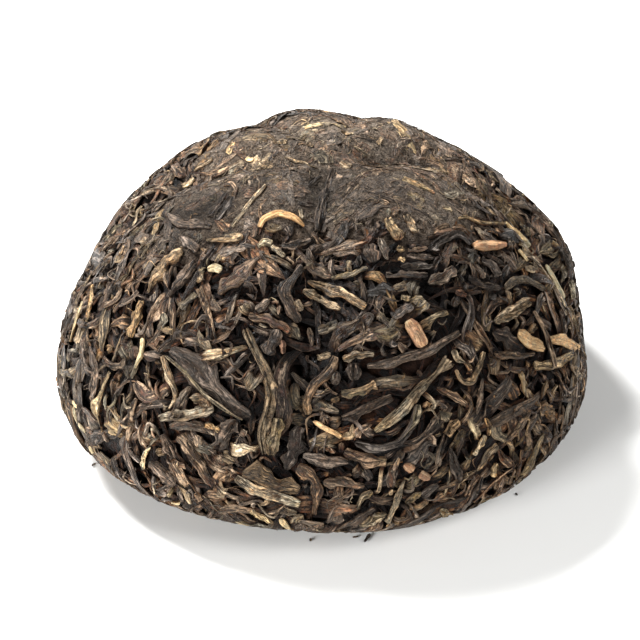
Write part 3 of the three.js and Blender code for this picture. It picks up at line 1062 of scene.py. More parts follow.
class TeaNestColours(bpy.types.PropertyGroup):
    """Colours of the leaves and of what lies on and under them."""

    black: colour_property("Black leaf", "Darkest rolled leaves", "1a0e07")
    slate: colour_property("Slate leaf", "Dark grey rolled leaves", "271b11")
    umber: colour_property("Umber leaf", "Dark brown rolled leaves", "3a2516")
    brown: colour_property("Brown leaf", "Brown rolled leaves", "473020")
    olive: colour_property("Olive leaf", "Greener rolled leaves", "3d3121")
    moss: colour_property("Moss leaf", "Dull yellow green leaves", "554830")
    grey: colour_property("Grey leaf", "Leaves with a grey bloom", "52453a")
    plum: colour_property("Plum leaf", "Reddish and purple leaves", "3e2a22")
    ochre: colour_property("Ochre leaf", "Pale brown leaves", "6c5840")
    straw: colour_property("Straw leaf", "Pale dull leaves", "88755b")
    bone: colour_property("Bone leaf", "Palest grey leaves and stems", "a59379")
    tan: colour_property("Tan bud", "Pale buds and stems", "947a58")
    gold: colour_property("Golden bud", "Golden buds", "b28f66")
    rust: colour_property("Rust chip", "Reddish brown pieces", "5c3826")
    pink: colour_property("Pink chip", "Pinkish woody pieces", "9f775b")
    cream: colour_property("Cream chip", "Cream splinters", "bfab85")
    # Ridge colours: the leaves' paler worn ridges, and partly a painted highlight on the ridges.
    crest_cool: colour_property("Cool ridges", "Ridges of the darkest leaves", "837467")
    crest_warm: colour_property("Warm ridges", "Ridges and edges of the brown leaves", "a08a72")
    crest_green: colour_property("Green ridges", "Ridges and edges of the olive leaves", "97876f")
    fleck: colour_property("Fleck", "Small pale flecks", "a89a84")
    dust: colour_property("Dust", "Pale dust and lint", "746a5f")
    # The core colours are near black: painted shade in the gaps between the loose leaves.
    core: colour_property("Core", "Packed leaf in the gaps", "180c08")
    core_pale: colour_property("Core, paler", "Paler grains of the packed leaf", "28180f")
    crust: colour_property("Crust", "Leaf that the cloth pressed flat", "221a14")
    crust_pale: colour_property("Crust, paler", "Paler grains of the pressed leaf", "463b30")
    floor: colour_property("Floor", "Floor under the nest", "f4f4f2")


class TeaNestSizes(bpy.types.PropertyGroup):
    """Sizes of the leaves."""

    strip_length: bpy.props.FloatProperty(
        name="Strip length", description="Usual length of a rolled leaf", default=0.0125, unit="LENGTH")
    strip_width: bpy.props.FloatProperty(
        name="Strip width", description="Usual width of a rolled leaf", default=0.002, unit="LENGTH")
    strip_thickness: bpy.props.FloatProperty(
        name="Strip thickness", description="Usual thickness of a rolled leaf", default=0.0008, unit="LENGTH")
    flake_length: bpy.props.FloatProperty(
        name="Flake length", description="Usual length of a pressed flat leaf", default=0.0085, unit="LENGTH")
    flake_width: bpy.props.FloatProperty(
        name="Flake width", description="Usual width of a pressed flat leaf", default=0.003, unit="LENGTH")


CRESTS = {
    "black": "crest_cool", "slate": "crest_cool", "umber": "crest_warm", "brown": "crest_warm",
    "olive": "crest_green", "moss": "crest_green", "grey": "crest_cool", "plum": "crest_warm",
    "straw": "bone", "bone": "cream", "ochre": "bone", "tan": "cream", "gold": "cream", "rust": "pink",
    "pink": "cream", "cream": "cream",
}
KIND_SHARES = {
    "black": 0.18, "slate": 0.17, "umber": 0.17, "brown": 0.13, "olive": 0.1, "moss": 0.05,
    "grey": 0.05, "plum": 0.045, "ochre": 0.04, "straw": 0.035, "bone": 0.01, "tan": 0.015,
}
DARK_KINDS = ("black", "slate", "umber")
PALE_KINDS = ("ochre", "straw", "bone", "tan")
BUD_KINDS = ("gold", "pink", "cream")

LEAF_LOOKS = {
    "dark": {"name": "Dark rolled leaf", "roughness": 0.5, "dust": 0.12},
    "rolled": {"name": "Rolled leaf", "roughness": 0.58, "dust": 0.2},
    "bud": {"name": "Smooth bud", "dust": 0.05, "contrast": 0.5, "relief": 0.25, "rim": 0.3},
    "woody": {"name": "Bud and stem", "dust": 0.05, "contrast": 0.7},
    "pressed": {"name": "Pressed leaf", "roughness": 0.75, "dust": 0.3, "contrast": 0.5, "relief": 0.2,
                "rim": 0.08, "fuzz": 0.85, "nap": 0.12},
    "buried": {"name": "Buried leaf", "roughness": 0.75, "dust": 0.05, "rim": 0.1},
}


def materials():
    """The materials by name, made once."""
    if not MATERIALS:
        colours = bpy.context.scene.tea_nest_colours
        groups = {"grain": leaf_grain_group(), "dust": leaf_dust_group()}
        for look, values in LEAF_LOOKS.items():
            MATERIALS[look] = leaf_material(groups=groups, colours=colours, **values)
        MATERIALS["core"] = core_material(groups, colours)
    return MATERIALS


MATERIALS = {}

# How leaves look where their batch doesn't say otherwise: the spread of their tones, the width of their tips,
# how they curl, fold, crinkle, roll and twist, the last two in degrees, and the share with a pale tip.
LOOKS = {
    "spread": 0.42, "tip": 0.42, "curl": 0.8, "fold": 0.42, "groove": 0.7, "crinkle": 0.15, "roll": 14.0,
    "twist": 45.0, "pale_tips": 0.1,
}
BENDS = (0.1, 0.05, 0.24)
CREST_SPREAD = 0.15
WARMTH_SPREAD = 0.07
BRIGHTEST = 1.5
FOLD_COUNTS = (1.0, 2.6)
HALF_SHARE = 0.45
HALF_STRENGTHS = (0.2, 0.9)
TIP_STRENGTHS = (0.3, 0.9)
KINK_PLACES = (-0.3, 0.3)


def leaf_rows(rng, kinds, length, width, thickness, cap, **special):
    """Sizes and looks of a batch of leaves."""
    colours = bpy.context.scene.tea_nest_colours
    count = len(kinds)
    looks = {**LOOKS, **special}
    return {
        "length": length, "width": width, "thickness": thickness, "cap": cap, "kind": np.array(kinds),
        "tone": varied_tones(rng, kinds, colours, looks["spread"]),
        "crest": varied_tones(rng, [CRESTS[kind] for kind in kinds], colours, CREST_SPREAD),
        "tip": np.full(count, looks["tip"]),
        "curl": rng.normal(0.0, looks["curl"], count),
        "fold": rng.uniform(0.0, looks["fold"], count),
        "folds": rng.uniform(*FOLD_COUNTS, count),
        "groove": rng.uniform(0.0, looks["groove"], count),
        "crinkle": np.full(count, looks["crinkle"]),
        "roll": rng.normal(0.0, math.radians(looks["roll"]), count),
        "twist": rng.normal(0.0, math.radians(looks["twist"]), count),
        "mottle": np.ones(count),
        "half": (rng.random(count) < HALF_SHARE) * rng.uniform(*HALF_STRENGTHS, count),
        "pale_tip": (rng.random(count) < looks["pale_tips"]) * rng.uniform(*TIP_STRENGTHS, count),
        "tip_tone": varied_tones(rng, ["tan"] * count, colours, CREST_SPREAD),
        "veil": np.ones(count),
    }


def varied_tones(rng, kinds, colours, spread):
    """Each leaf's own tone: its kind's colour, lighter or darker, warmer or cooler."""
    base = np.array([tuple(getattr(colours, kind)) for kind in kinds])
    value = np.exp(spread * np.minimum(rng.normal(0.0, 1.0, (len(kinds), 1)), BRIGHTEST))
    warmth = rng.normal(0.0, WARMTH_SPREAD, (len(kinds), 1))
    return base * value * (1.0 + warmth * np.array([[1.0, 0.1, -1.0]]))


def lay_batch(rng, surface, middles, headings, rows, laid, refuse, bends=BENDS, core_depth=core_depths):
    """Draws the lines of a batch of leaves, which bow, wave and kink, and lays them."""
    count = len(middles)
    bends = [rng.normal(0.0, spread, count) for spread in bends]
    kinks_at = rng.uniform(*KINK_PLACES, count)
    if surface is DOME:
        # The patches' tones, partly painted light and shade, go onto the leaves here.
        rows["cap"] = rows["cap"] - tint_rows(rows, middles) * looseness(middles)
    lines = leaf_lines(surface, middles, headings, rows["length"], *bends, kinks_at)
    lay_leaves(surface, lines, rows, core_depth(lines), laid, refuse)


def tint_rows(rows, middles, share=1.0):
    """Gives leaves a share of the tones of their patches, partly their own tones and partly painted light and
    shade, and returns how far the patches sink them.
    """
    tone, warmth, sunk = patch_strengths(middles)
    tint = (tone[:, None] * warmth[:, None] ** np.array([0.4, 0.0, -0.6])) ** share
    rows["tone"], rows["crest"] = rows["tone"] * tint, rows["crest"] * tint
    # The patches' darkness, partly painted shade, also dims the dust.
    rows["veil"] = np.minimum(tone, 1.0) ** share
    return sunk


def clear_of_mouth(surface, middles, length, *others):
    """A batch without the leaves that would reach over the mouth of the hollow."""
    points = surface["point"](middles)
    outward = np.hypot(points[:, 0], points[:, 1])
    keep = points[:, 2] > LINING_LEVEL
    if surface is DOME:
        keep = (points[:, 2] > FOOT_LEVEL) | (outward > HOLLOW_RADIUS + MOUTH_RIM + 0.3 * length)
    return [values[keep] for values in (middles, length, *others)]


def uneven(rng, usual, spread, count, shift=0.0):
    """Sizes that scatter about the usual one."""
    return usual * np.exp(rng.normal(shift, spread, count))


def place_leaves(rng, surface, tries, lifts, usual, spread, shift=0.0, share=None):
    """Middles and lengths of a batch: spread evenly, thinned by where leaves are loose, and off the mouth."""
    middles = spread_directions(rng, tries, surface, *lifts)
    if share:
        bare, loose = share
        middles = middles[rng.random(len(middles)) < bare + (loose - bare) * looseness(middles)]
    return clear_of_mouth(surface, middles, uneven(rng, usual, spread, len(middles), shift))


def draw_kinds(rng, shares, count):
    """Kinds of a batch of leaves, drawn by their shares."""
    parts = np.array(list(shares.values()))
    return rng.choice(list(shares), count, p=parts / parts.sum())


def usual_sizes():
    """Usual sizes of the leaves, in millimetres."""
    sizes = bpy.context.scene.tea_nest_sizes
    return {name: getattr(sizes, name) / MM for name in TeaNestSizes.__annotations__}


def shown(name, kind, width, *way, tip=None, proud=0.4):
    """Leaf that stands out in the photograph: its width and its way in pixels, its rise in millimetres."""
    return {"name": name, "kind": kind, "width": width, "way": way, "tip": tip, "proud": proud}


# Leaves that stand out in the photograph.
SHOWN_LEAVES = (
    shown("golden arc", "gold", 8, (259, 229), (263, 219), (278, 212), (293, 217), (306, 227)),
    shown("long pale wood", "straw", 10, (306, 280), (338, 292), (368, 307), tip="tan"),
    shown("short pale wood", "straw", 9, (302, 289), (322, 299), (341, 310), tip="cream"),
    shown("orange chip", "pink", 14, (408, 319), (417, 333), (425, 347), proud=0.7),
    shown("plum arc", "plum", 9, (247, 315), (271, 320), (291, 332), tip="rust"),
    shown("winding olive leaf", "straw", 11, (243, 325), (252, 347), (264, 368), (272, 395), (266, 420),
          (262, 440), (266, 459)),
    shown("big leaf", "slate", 22, (166, 348), (190, 364), (215, 390), (240, 410), (254, 417)),
    shown("big leaf's edge", "moss", 5, (163, 353), (184, 371), (205, 395), (228, 412), (246, 421)),
    shown("hook", "ochre", 6, (161, 354), (168, 374), (176, 394), (174, 404), (167, 409)),
    shown("left pale stem", "cream", 6, (83, 300), (75, 324), (69, 343)),
    shown("left tan stem", "tan", 7, (110, 370), (99, 397), (97, 415), (103, 434)),
    shown("left black leaf", "black", 11, (88, 345), (94, 370), (91, 404)),
    shown("left ochre leaf", "tan", 11, (141, 299), (134, 318), (128, 338)),
    shown("left pale leaf", "straw", 13, (184, 249), (165, 259), (153, 278), (146, 294)),
    shown("left bluish leaf", "black", 12, (196, 259), (181, 278), (166, 298)),
    shown("cream chip", "cream", 8, (207, 269), (214, 267), (222, 270)),
    shown("plum leaf", "plum", 16, (260, 255), (238, 272), (216, 295)),
    shown("left slate leaf", "slate", 13, (111, 281), (104, 296), (97, 311)),
    shown("left tan strip", "tan", 5, (92, 283), (90, 303), (86, 323)),
    shown("left moss strip", "brown", 7, (122, 288), (115, 299), (104, 307)),
    shown("left cream strip", "cream", 5, (142, 337), (141, 352), (134, 369)),
    shown("left tan bow", "brown", 6, (102, 357), (111, 365), (122, 366), (126, 358)),
    shown("plum slant", "umber", 12, (191, 386), (182, 402), (171, 420)),
    shown("tan and dark leaf", "ochre", 10, (157, 418), (185, 417), (215, 409), tip="slate"),
    shown("ochre knot", "ochre", 12, (191, 397), (201, 400), (211, 407)),
    shown("umber bow", "umber", 8, (169, 427), (182, 424), (197, 427), (217, 434)),
    shown("tan knot", "tan", 9, (204, 424), (211, 429), (219, 433)),
    shown("slate plate", "slate", 12, (161, 434), (167, 447), (173, 460)),
    shown("long umber leaf", "umber", 12, (177, 434), (193, 458), (214, 488), tip="rust"),
    shown("dark plate", "grey", 15, (148, 462), (161, 474), (176, 487)),
    shown("pale bow", "bone", 4, (150, 446), (143, 457), (143, 470)),
    shown("slate lean", "slate", 13, (236, 420), (226, 434), (216, 449)),
    shown("flat olive leaf", "moss", 14, (279, 417), (276, 437), (270, 457)),
    shown("black stub", "black", 15, (300, 425), (295, 447), (285, 471)),
    shown("broad flat leaf", "olive", 22, (240, 474), (270, 483), (302, 490)),
    shown("cream edged leaf", "straw", 10, (234, 476), (252, 489), (273, 496), (302, 505), tip="cream"),
    shown("umber hook", "umber", 13, (296, 465), (311, 473), (318, 486), (313, 517)),
    shown("foot tan leaf", "tan", 7, (250, 510), (260, 517), (273, 524)),
    shown("foot cream leaf", "cream", 7, (280, 519), (284, 525), (290, 530)),
    shown("slate bar", "slate", 11, (302, 455), (324, 462), (350, 463)),
    shown("plum plate", "plum", 15, (343, 452), (365, 461), (388, 462), tip="tan"),
    shown("black arc", "black", 9, (352, 442), (378, 449), (400, 444), (414, 424), (418, 402)),
    shown("long slate leaf", "slate", 11, (340, 419), (364, 411), (394, 396)),
    shown("long olive leaf", "straw", 12, (452, 357), (436, 376), (414, 396), (392, 418), (372, 434),
          tip="cream"),
    shown("gold bud", "gold", 5, (312, 421), (324, 428), (335, 433), (342, 438)),
    shown("foot bar", "brown", 9, (322, 483), (344, 484), (366, 487)),
    shown("foot slate leaf", "slate", 9, (336, 531), (354, 523), (376, 508)),
    shown("foot curl", "moss", 7, (357, 511), (361, 499), (373, 491)),
    shown("long right leaf", "grey", 11, (364, 367), (400, 360), (431, 350), (463, 330)),
    shown("small curl", "ochre", 6, (453, 349), (457, 358), (466, 363)),
    shown("hook curl", "ochre", 7, (455, 368), (462, 382), (473, 383), (479, 371), (485, 350), tip="tan"),
    shown("rust leaf", "umber", 7, (436, 387), (450, 395), (468, 405)),
    shown("upright slate", "slate", 5, (483, 377), (482, 397), (477, 416)),
    shown("black plate", "black", 17, (493, 330), (508, 338), (524, 348)),
    shown("right tan leaf", "gold", 16, (517, 332), (529, 341), (544, 347), proud=0.7),
    shown("right dark stem", "umber", 6, (531, 310), (545, 334), (550, 352), (554, 369), proud=0.9),
    shown("right upper tan", "gold", 12, (549, 340), (562, 339), (580, 350), proud=0.6),
    shown("right lower tan", "tan", 11, (534, 368), (553, 365), (575, 354), tip="tan"),
    shown("right plum edge", "ochre", 6, (569, 364), (575, 371), (583, 379)),
    shown("right olive strip", "umber", 7, (494, 354), (514, 356), (536, 354)),
    shown("right ochre knot", "ochre", 13, (541, 406), (549, 410), (556, 417)),
    shown("right cream strip", "bone", 6, (486, 435), (481, 445), (474, 456)),
    shown("right fine tan", "tan", 4, (485, 418), (489, 426), (488, 436)),
    shown("right tan curve", "ochre", 7, (499, 445), (489, 453), (485, 463), (476, 472)),
    shown("pale patch", "straw", 11, (447, 436), (453, 427), (460, 420)),
    shown("olive curl", "moss", 7, (418, 403), (415, 420), (402, 438)),
    shown("right olive lean", "straw", 11, (494, 322), (512, 312), (532, 299)),
    shown("right edge strip", "straw", 8, (568, 306), (575, 324), (580, 345)),
    shown("salmon chip", "pink", 13, (473, 246), (488, 244), (508, 243), proud=0.6),
    shown("tan line", "tan", 5, (457, 219), (466, 216), (481, 223), (507, 223)),
    shown("tan line's end", "cream", 8, (505, 222), (517, 232), (531, 247), tip="cream"),
    shown("small pink bud", "cream", 5, (519, 249), (523, 255), (528, 261)),
    shown("cream crest", "cream", 7, (545, 264), (556, 281), (565, 299), tip="cream"),
    shown("edge bump", "slate", 13, (558, 250), (565, 259), (569, 270), proud=1.5),
    shown("edge tan bump", "bone", 9, (569, 280), (571, 288), (572, 298), proud=1.0),
    shown("dark arch", "black", 9, (429, 250), (444, 237), (461, 234), (472, 245)),
    shown("black lean", "black", 9, (468, 277), (484, 284), (501, 287)),
    shown("black curve", "black", 10, (482, 258), (493, 264), (501, 276)),
    shown("olive arch", "olive", 8, (504, 288), (514, 280), (527, 279), (548, 290)),
    shown("upper log", "slate", 7, (406, 256), (420, 257), (434, 257)),
    shown("middle log", "slate", 7, (400, 266), (418, 266), (434, 266)),
    shown("lower log", "black", 8, (385, 274), (405, 275), (428, 275)),
    shown("plum flake", "tan", 14, (387, 217), (393, 227), (401, 239), tip="pink", proud=0.15),
    shown("olive flake", "straw", 9, (406, 214), (411, 222), (416, 232), proud=0.1),
    shown("orange flake", "tan", 8, (402, 177), (417, 183), (436, 193), tip="pink", proud=0.15),
    shown("small pink flake", "bone", 9, (441, 208), (446, 207), (453, 211), proud=0.08),
    shown("crest flake", "tan", 10, (207, 139), (202, 147), (198, 155), proud=0.2),
    shown("crown cream fleck", "cream", 5, (246, 158), (250, 160), (254, 159), proud=0.2),
    shown("crown tan fleck", "straw", 6, (277, 143), (282, 141), (287, 142), proud=0.2),
    shown("crest olive fleck", "bone", 6, (181, 186), (187, 183), (194, 178), proud=0.2),
    shown("crown ochre fleck", "straw", 6, (341, 130), (346, 133), (352, 134), proud=0.2),
    shown("crown tan chip", "ochre", 7, (340, 162), (346, 165), (352, 166), proud=0.2),
    shown("tan sliver", "bone", 4, (300, 208), (301, 213), (302, 219), proud=0.1),
    shown("bottom tan leaf", "moss", 7, (405, 504), (413, 499), (422, 492)),
    shown("bottom black leaf", "black", 8, (422, 496), (430, 491), (439, 485)),
    shown("bottom slate leaf", "slate", 10, (450, 448), (456, 465), (461, 483)),
    shown("bottom grey stem", "straw", 6, (405, 479), (397, 500), (388, 525)),
    shown("first pink chip", "pink", 9, (404, 465), (409, 468), (414, 471)),
    shown("second pink chip", "pink", 9, (420, 474), (425, 477), (430, 479)),
    shown("bottom ochre leaf", "tan", 8, (497, 463), (496, 470), (494, 478)),
    shown("bottom pink stem", "brown", 4, (523, 449), (520, 466), (516, 482)),
    shown("bottom tan knot", "tan", 8, (441, 510), (446, 514), (452, 515)),
    shown("bottom moss leaf", "moss", 10, (360, 527), (374, 521), (387, 513)),
    shown("white fleck, left foot", "cream", 4, (172, 502), (176, 503), (180, 502), proud=0.6),
    shown("white fleck, left side", "cream", 4, (72, 401), (74, 404), (77, 408)),
    shown("white fleck, left edge", "cream", 5, (90, 446), (92, 449), (94, 453), proud=0.7),
    shown("ochre leaf above", "ochre", 8, (205, 240), (224, 240), (244, 236)),
    shown("lobe's lower leaf", "grey", 10, (167, 213), (182, 222), (199, 224), (213, 227)),
    shown("lobe's first strip", "slate", 8, (227, 192), (218, 204), (208, 217), proud=0.2),
    shown("lobe's second strip", "black", 8, (232, 195), (224, 208), (216, 221), proud=0.2),
    shown("lobe's broad leaf", "umber", 15, (212, 175), (191, 196), (177, 206), proud=0.15),
    shown("lobe's plum curl", "plum", 7, (223, 185), (231, 183), (236, 189), (232, 200), proud=0.2),
    shown("slanting stem", "straw", 7, (267, 183), (251, 201), (231, 228), proud=0.2),
    shown("grey leaf under the lobe", "grey", 9, (180, 236), (189, 243), (197, 251)),
    shown("olive leaf under the arc", "moss", 10, (266, 226), (274, 229), (282, 227), proud=0.25),
    shown("slate bit under the arc", "black", 8, (287, 226), (292, 235), proud=0.2),
    shown("pale knot under the arc", "bone", 7, (257, 246), (265, 241), (273, 243)),
    shown("pale twig under the arc", "straw", 6, (271, 246), (278, 250), (285, 257)),
    shown("slate leaf under the arc", "slate", 8, (280, 246), (296, 244), (311, 238)),
    shown("crease leaf", "black", 14, (333, 167), (326, 190), (321, 212), (318, 233), proud=0.4),
    shown("crease bar", "black", 6, (298, 202), (313, 204), proud=0.1),
    shown("crease lean", "slate", 7, (308, 187), (322, 175), proud=0.1),
    shown("crown's thin stem", "straw", 3, (283, 157), (303, 162), (319, 169), proud=0.15),
    shown("back lobe's plum leaf", "plum", 12, (171, 163), (177, 168), (182, 176), proud=0.25),
    shown("back lobe's ochre leaf", "ochre", 8, (193, 171), (202, 164), (213, 158), proud=0.25),
    shown("slate block", "slate", 14, (374, 218), (371, 233), proud=0.15),
    shown("slate slab", "slate", 15, (369, 243), (375, 261), proud=0.3),
    shown("umber slat", "umber", 9, (380, 237), (388, 260), proud=0.3),
    shown("arch's top leaf", "umber", 12, (427, 238), (447, 228), (463, 227), (472, 235), proud=0.3),
    shown("top log", "plum", 5, (408, 251), (428, 248)),
    shown("first tan bit", "tan", 6, (397, 247), (405, 250)),
    shown("second tan bit", "tan", 5, (398, 258), (405, 261)),
    shown("slanting olive stem", "moss", 6, (330, 278), (348, 275), (369, 267)),
    shown("brown knot", "brown", 10, (428, 284), (441, 277), (456, 266)),
    shown("red chip", "rust", 8, (456, 291), (467, 295)),
    shown("tan chip", "tan", 5, (401, 297), (411, 298)),
    shown("dark leaf over the orange chip", "slate", 10, (392, 317), (402, 311), (413, 305)),
    shown("back ridge leaf", "slate", 10, (527, 200), (543, 218), (560, 238), (564, 256), proud=0.3),
    shown("back moss leaf", "moss", 8, (521, 221), (526, 228), (530, 236), proud=0.3),
    shown("black upright", "black", 12, (303, 263), (289, 281), (283, 295), (293, 309), (301, 324)),
    shown("olive knob", "ochre", 7, (296, 300), (302, 311)),
    shown("slate stub", "slate", 8, (269, 299), (256, 311)),
    shown("dark slate leaf", "black", 12, (279, 329), (266, 355)),
    shown("red bit", "rust", 6, (282, 340), (284, 354)),
    shown("olive slat", "olive", 10, (317, 330), (338, 323)),
    shown("brown slat", "brown", 6, (309, 327), (312, 346)),
    shown("pale tip", "straw", 6, (317, 358), (331, 354)),
    shown("curved plum leaf", "umber", 9, (336, 354), (330, 369), (314, 381), (306, 399), (307, 417),
          tip="tan"),
    shown("ochre stub", "ochre", 8, (342, 360), (356, 354), (375, 354)),
    shown("slate plate, centre", "slate", 15, (353, 362), (355, 381), proud=0.25),
    shown("gold edged leaf", "moss", 9, (340, 394), (358, 392), (378, 384), tip="gold"),
    shown("slate lean, centre", "slate", 9, (337, 371), (334, 385)),
)


# Operators.

# Square lights, in metres and watts.
LIGHTS = (
    {"name": "key", "place": (-0.38, 0.36, 0.64), "size": 0.26, "power": 21.1},
    {"name": "low key", "place": (-0.50, -0.60, 0.26), "size": 0.3, "power": 8.6},
    {"name": "fill", "place": (0.50, -0.30, 0.50), "size": 0.3, "power": 3.3},
)
LIGHTS_AIM = Vector((0.0, 0.0, 0.03))
WORLD_STRENGTH = 0.13


class TEANEST_OT_stage(bpy.types.Operator):
    """Adds the pale floor, the soft studio light and the camera"""

    bl_idname = "tea_nest.stage"
    bl_label = "Stage"

    def execute(self, context):
        colours = context.scene.tea_nest_colours
        add_camera()
        add_floor(colours)
        add_lights()
        return {"FINISHED"}


def add_camera():
    """Camera at the photograph's viewing angle."""
    data = bpy.data.cameras.new("camera")
    data.sensor_width = SENSOR_WIDTH
    data.lens = SENSOR_WIDTH * PIXELS_PER_MM * CAMERA_DISTANCE / PHOTO_SIZE
    data.clip_start = 0.05
    data.clip_end = 20.0
    camera = bpy.data.objects.new("camera", data)
    camera.location = camera_place() * MM
    camera.rotation_mode = "QUATERNION"
    camera.rotation_quaternion = Vector(CAMERA_AIM - camera_place()).to_track_quat("-Z", "Y")
    bpy.context.scene.collection.objects.link(camera)
    bpy.context.scene.camera = camera


def camera_place():
    """Where the camera stands, in millimetres."""
    elevation = math.radians(CAMERA_ELEVATION)
    return CAMERA_AIM + CAMERA_DISTANCE * np.array([0.0, -math.cos(elevation), math.sin(elevation)])


def add_floor(colours):
    """Plain pale floor."""
    half, drop = 3.0, 0.0001
    corners = [(x * half, y * half, 0.0) for x, y in ((-1, -1), (1, -1), (1, 1), (-1, 1))]
    mesh = bpy.data.meshes.new("floor")
    mesh.from_pydata(corners, [], [range(4)])
    mesh.materials.append(new_material("Pale floor", colour=(*colours.floor, 1.0), roughness=0.9)[0])
    floor = bpy.data.objects.new("floor", mesh)
    floor.location.z = -drop
    bpy.context.scene.collection.objects.link(floor)


def add_lights():
    """Plain soft studio light, strongest from above on the left."""
    world = bpy.data.worlds.new("studio")
    world.use_nodes = True
    background = world.node_tree.nodes["Background"]
    background.inputs["Color"].default_value = (1.0, 1.0, 1.0, 1.0)
    background.inputs["Strength"].default_value = WORLD_STRENGTH
    bpy.context.scene.world = world
    for light in LIGHTS:
        add_area_light(**light)
    bpy.context.scene.view_settings.view_transform = "Standard"
    bpy.context.scene.view_settings.look = "None"


def add_area_light(name, place, size, power):
    """Square soft light that looks at the nest."""
    data = bpy.data.lights.new(name, "AREA")
    data.energy = power
    data.size = size
    light = bpy.data.objects.new(name, data)
    light.location = place
    light.rotation_mode = "QUATERNION"
    light.rotation_quaternion = (LIGHTS_AIM - Vector(place)).to_track_quat("-Z", "Y")
    bpy.context.scene.collection.objects.link(light)


class TEANEST_OT_core(bpy.types.Operator):
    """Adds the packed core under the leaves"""

    bl_idname = "tea_nest.core"
    bl_label = "Packed core"
    sectors = 190
    hollow_depth = 1.3
    # Lifts of the first and last ring, and how many rings there are.
    dome_rings = (89.6, -18, 92)
    hollow_rings = (4.0, 89.5, 24)
    foot_rings = 8

    def execute(self, context):
        sectors = self.sectors
        azimuth = np.linspace(0.0, 2.0 * math.pi, sectors, endpoint=False)
        foot_lift = -math.degrees(math.atan2(WIDEST_LEVEL, HOLLOW_RADIUS + MOUTH_RIM))
        foot_lifts = np.linspace(self.dome_rings[1] - 1, foot_lift, self.foot_rings)
        outer_lifts = np.concatenate([np.linspace(*self.dome_rings), foot_lifts])
        rings = [self.ring(DOME, lift, azimuth) for lift in np.radians(outer_lifts)]
        rings += [self.ring(HOLLOW, lift, azimuth) for lift in np.radians(np.linspace(*self.hollow_rings))]
        corners, pressed, tones = (np.array(part) for part in zip(*rings))
        count = len(rings)
        ring, around, here, there = tube_grid(count, sectors)
        quads = np.stack([here, here + sectors, there + sectors, there], axis=-1).reshape(-1, 4)
        caps = [np.arange(sectors), (count - 1) * sectors + np.arange(sectors)[::-1]]
        loops = np.concatenate([quads.ravel(), *caps])
        sizes = np.concatenate([np.full(len(quads), 4), [sectors, sectors]])
        u = np.stack([around, around, around + 1, around + 1], axis=-1).reshape(-1) / sectors
        v = np.stack([ring, ring + 1, ring + 1, ring], axis=-1).reshape(-1) / (count - 1)
        u = np.concatenate([u, 0.02 + 0.01 * np.cos(azimuth), 0.06 + 0.01 * np.cos(azimuth)])
        v = np.concatenate([0.05 + 0.9 * v, 0.02 + 0.01 * np.sin(azimuth), 0.02 + 0.01 * np.sin(azimuth)])
        mesh = mesh_from_loops("tea_core", corners, loops, sizes, np.stack([u, v], axis=-1))
        add_attribute(mesh, "pressed", "FLOAT", "value", pressed)
        add_attribute(mesh, "core_tone", "FLOAT", "value", tones)
        finish_piece("tea_core", mesh, materials()["core"])
        return {"FINISHED"}

    def ring(self, surface, lift, azimuth):
        """Corners of the core at one lift, how flat it is pressed there, and how pale, partly by the patches'
        painted light and shade.
        """
        level, up = math.cos(lift), np.full(self.sectors, math.sin(lift))
        directions = np.stack([level * np.sin(azimuth), -level * np.cos(azimuth), up], axis=-1)
        depth = np.full(self.sectors, self.hollow_depth)
        loose = tone = np.ones(self.sectors)
        if surface is DOME:
            loose = looseness(directions)
            tone, _, sunk = patch_strengths(directions)
            depth = core_depths(directions) + sunk * loose
        depth = depth + ripples(directions, CORE_GRAIN) * (0.3 + 0.7 * loose)
        inward = surface_normals(surface, directions) * depth[:, None]
        return surface["point"](directions) - inward, 1.0 - loose, tone


class TEANEST_OT_buried_leaves(bpy.types.Operator):
    """Lays the leaves that show deep in the gaps"""

    bl_idname = "tea_nest.buried_leaves"
    bl_label = "Buried leaves"
    tries, lifts = 1400, (-60.0, 60.0)
    cap = -1.0

    def execute(self, context):
        rng, laid, usual = np.random.default_rng(21), Laid(), usual_sizes()
        middles, length = place_leaves(
            rng, DOME, self.tries, self.lifts, usual["strip_length"], 0.25, 0.05)
        count = len(middles)
        kinds = rng.choice(DARK_KINDS, count)
        width = uneven(rng, usual["strip_width"], 0.25, count, 0.2)
        thickness, cap = np.full(count, 1.2 * usual["strip_thickness"]), np.full(count, self.cap)
        rows = leaf_rows(rng, kinds, length, width, thickness, cap)
        lay_batch(rng, DOME, middles, strip_headings(rng, middles, 1.2), rows, laid, 0.9)
        join_leaves("buried_leaves", rng, laid.arrays(), 8, 8, materials()["buried"])
        return {"FINISHED"}


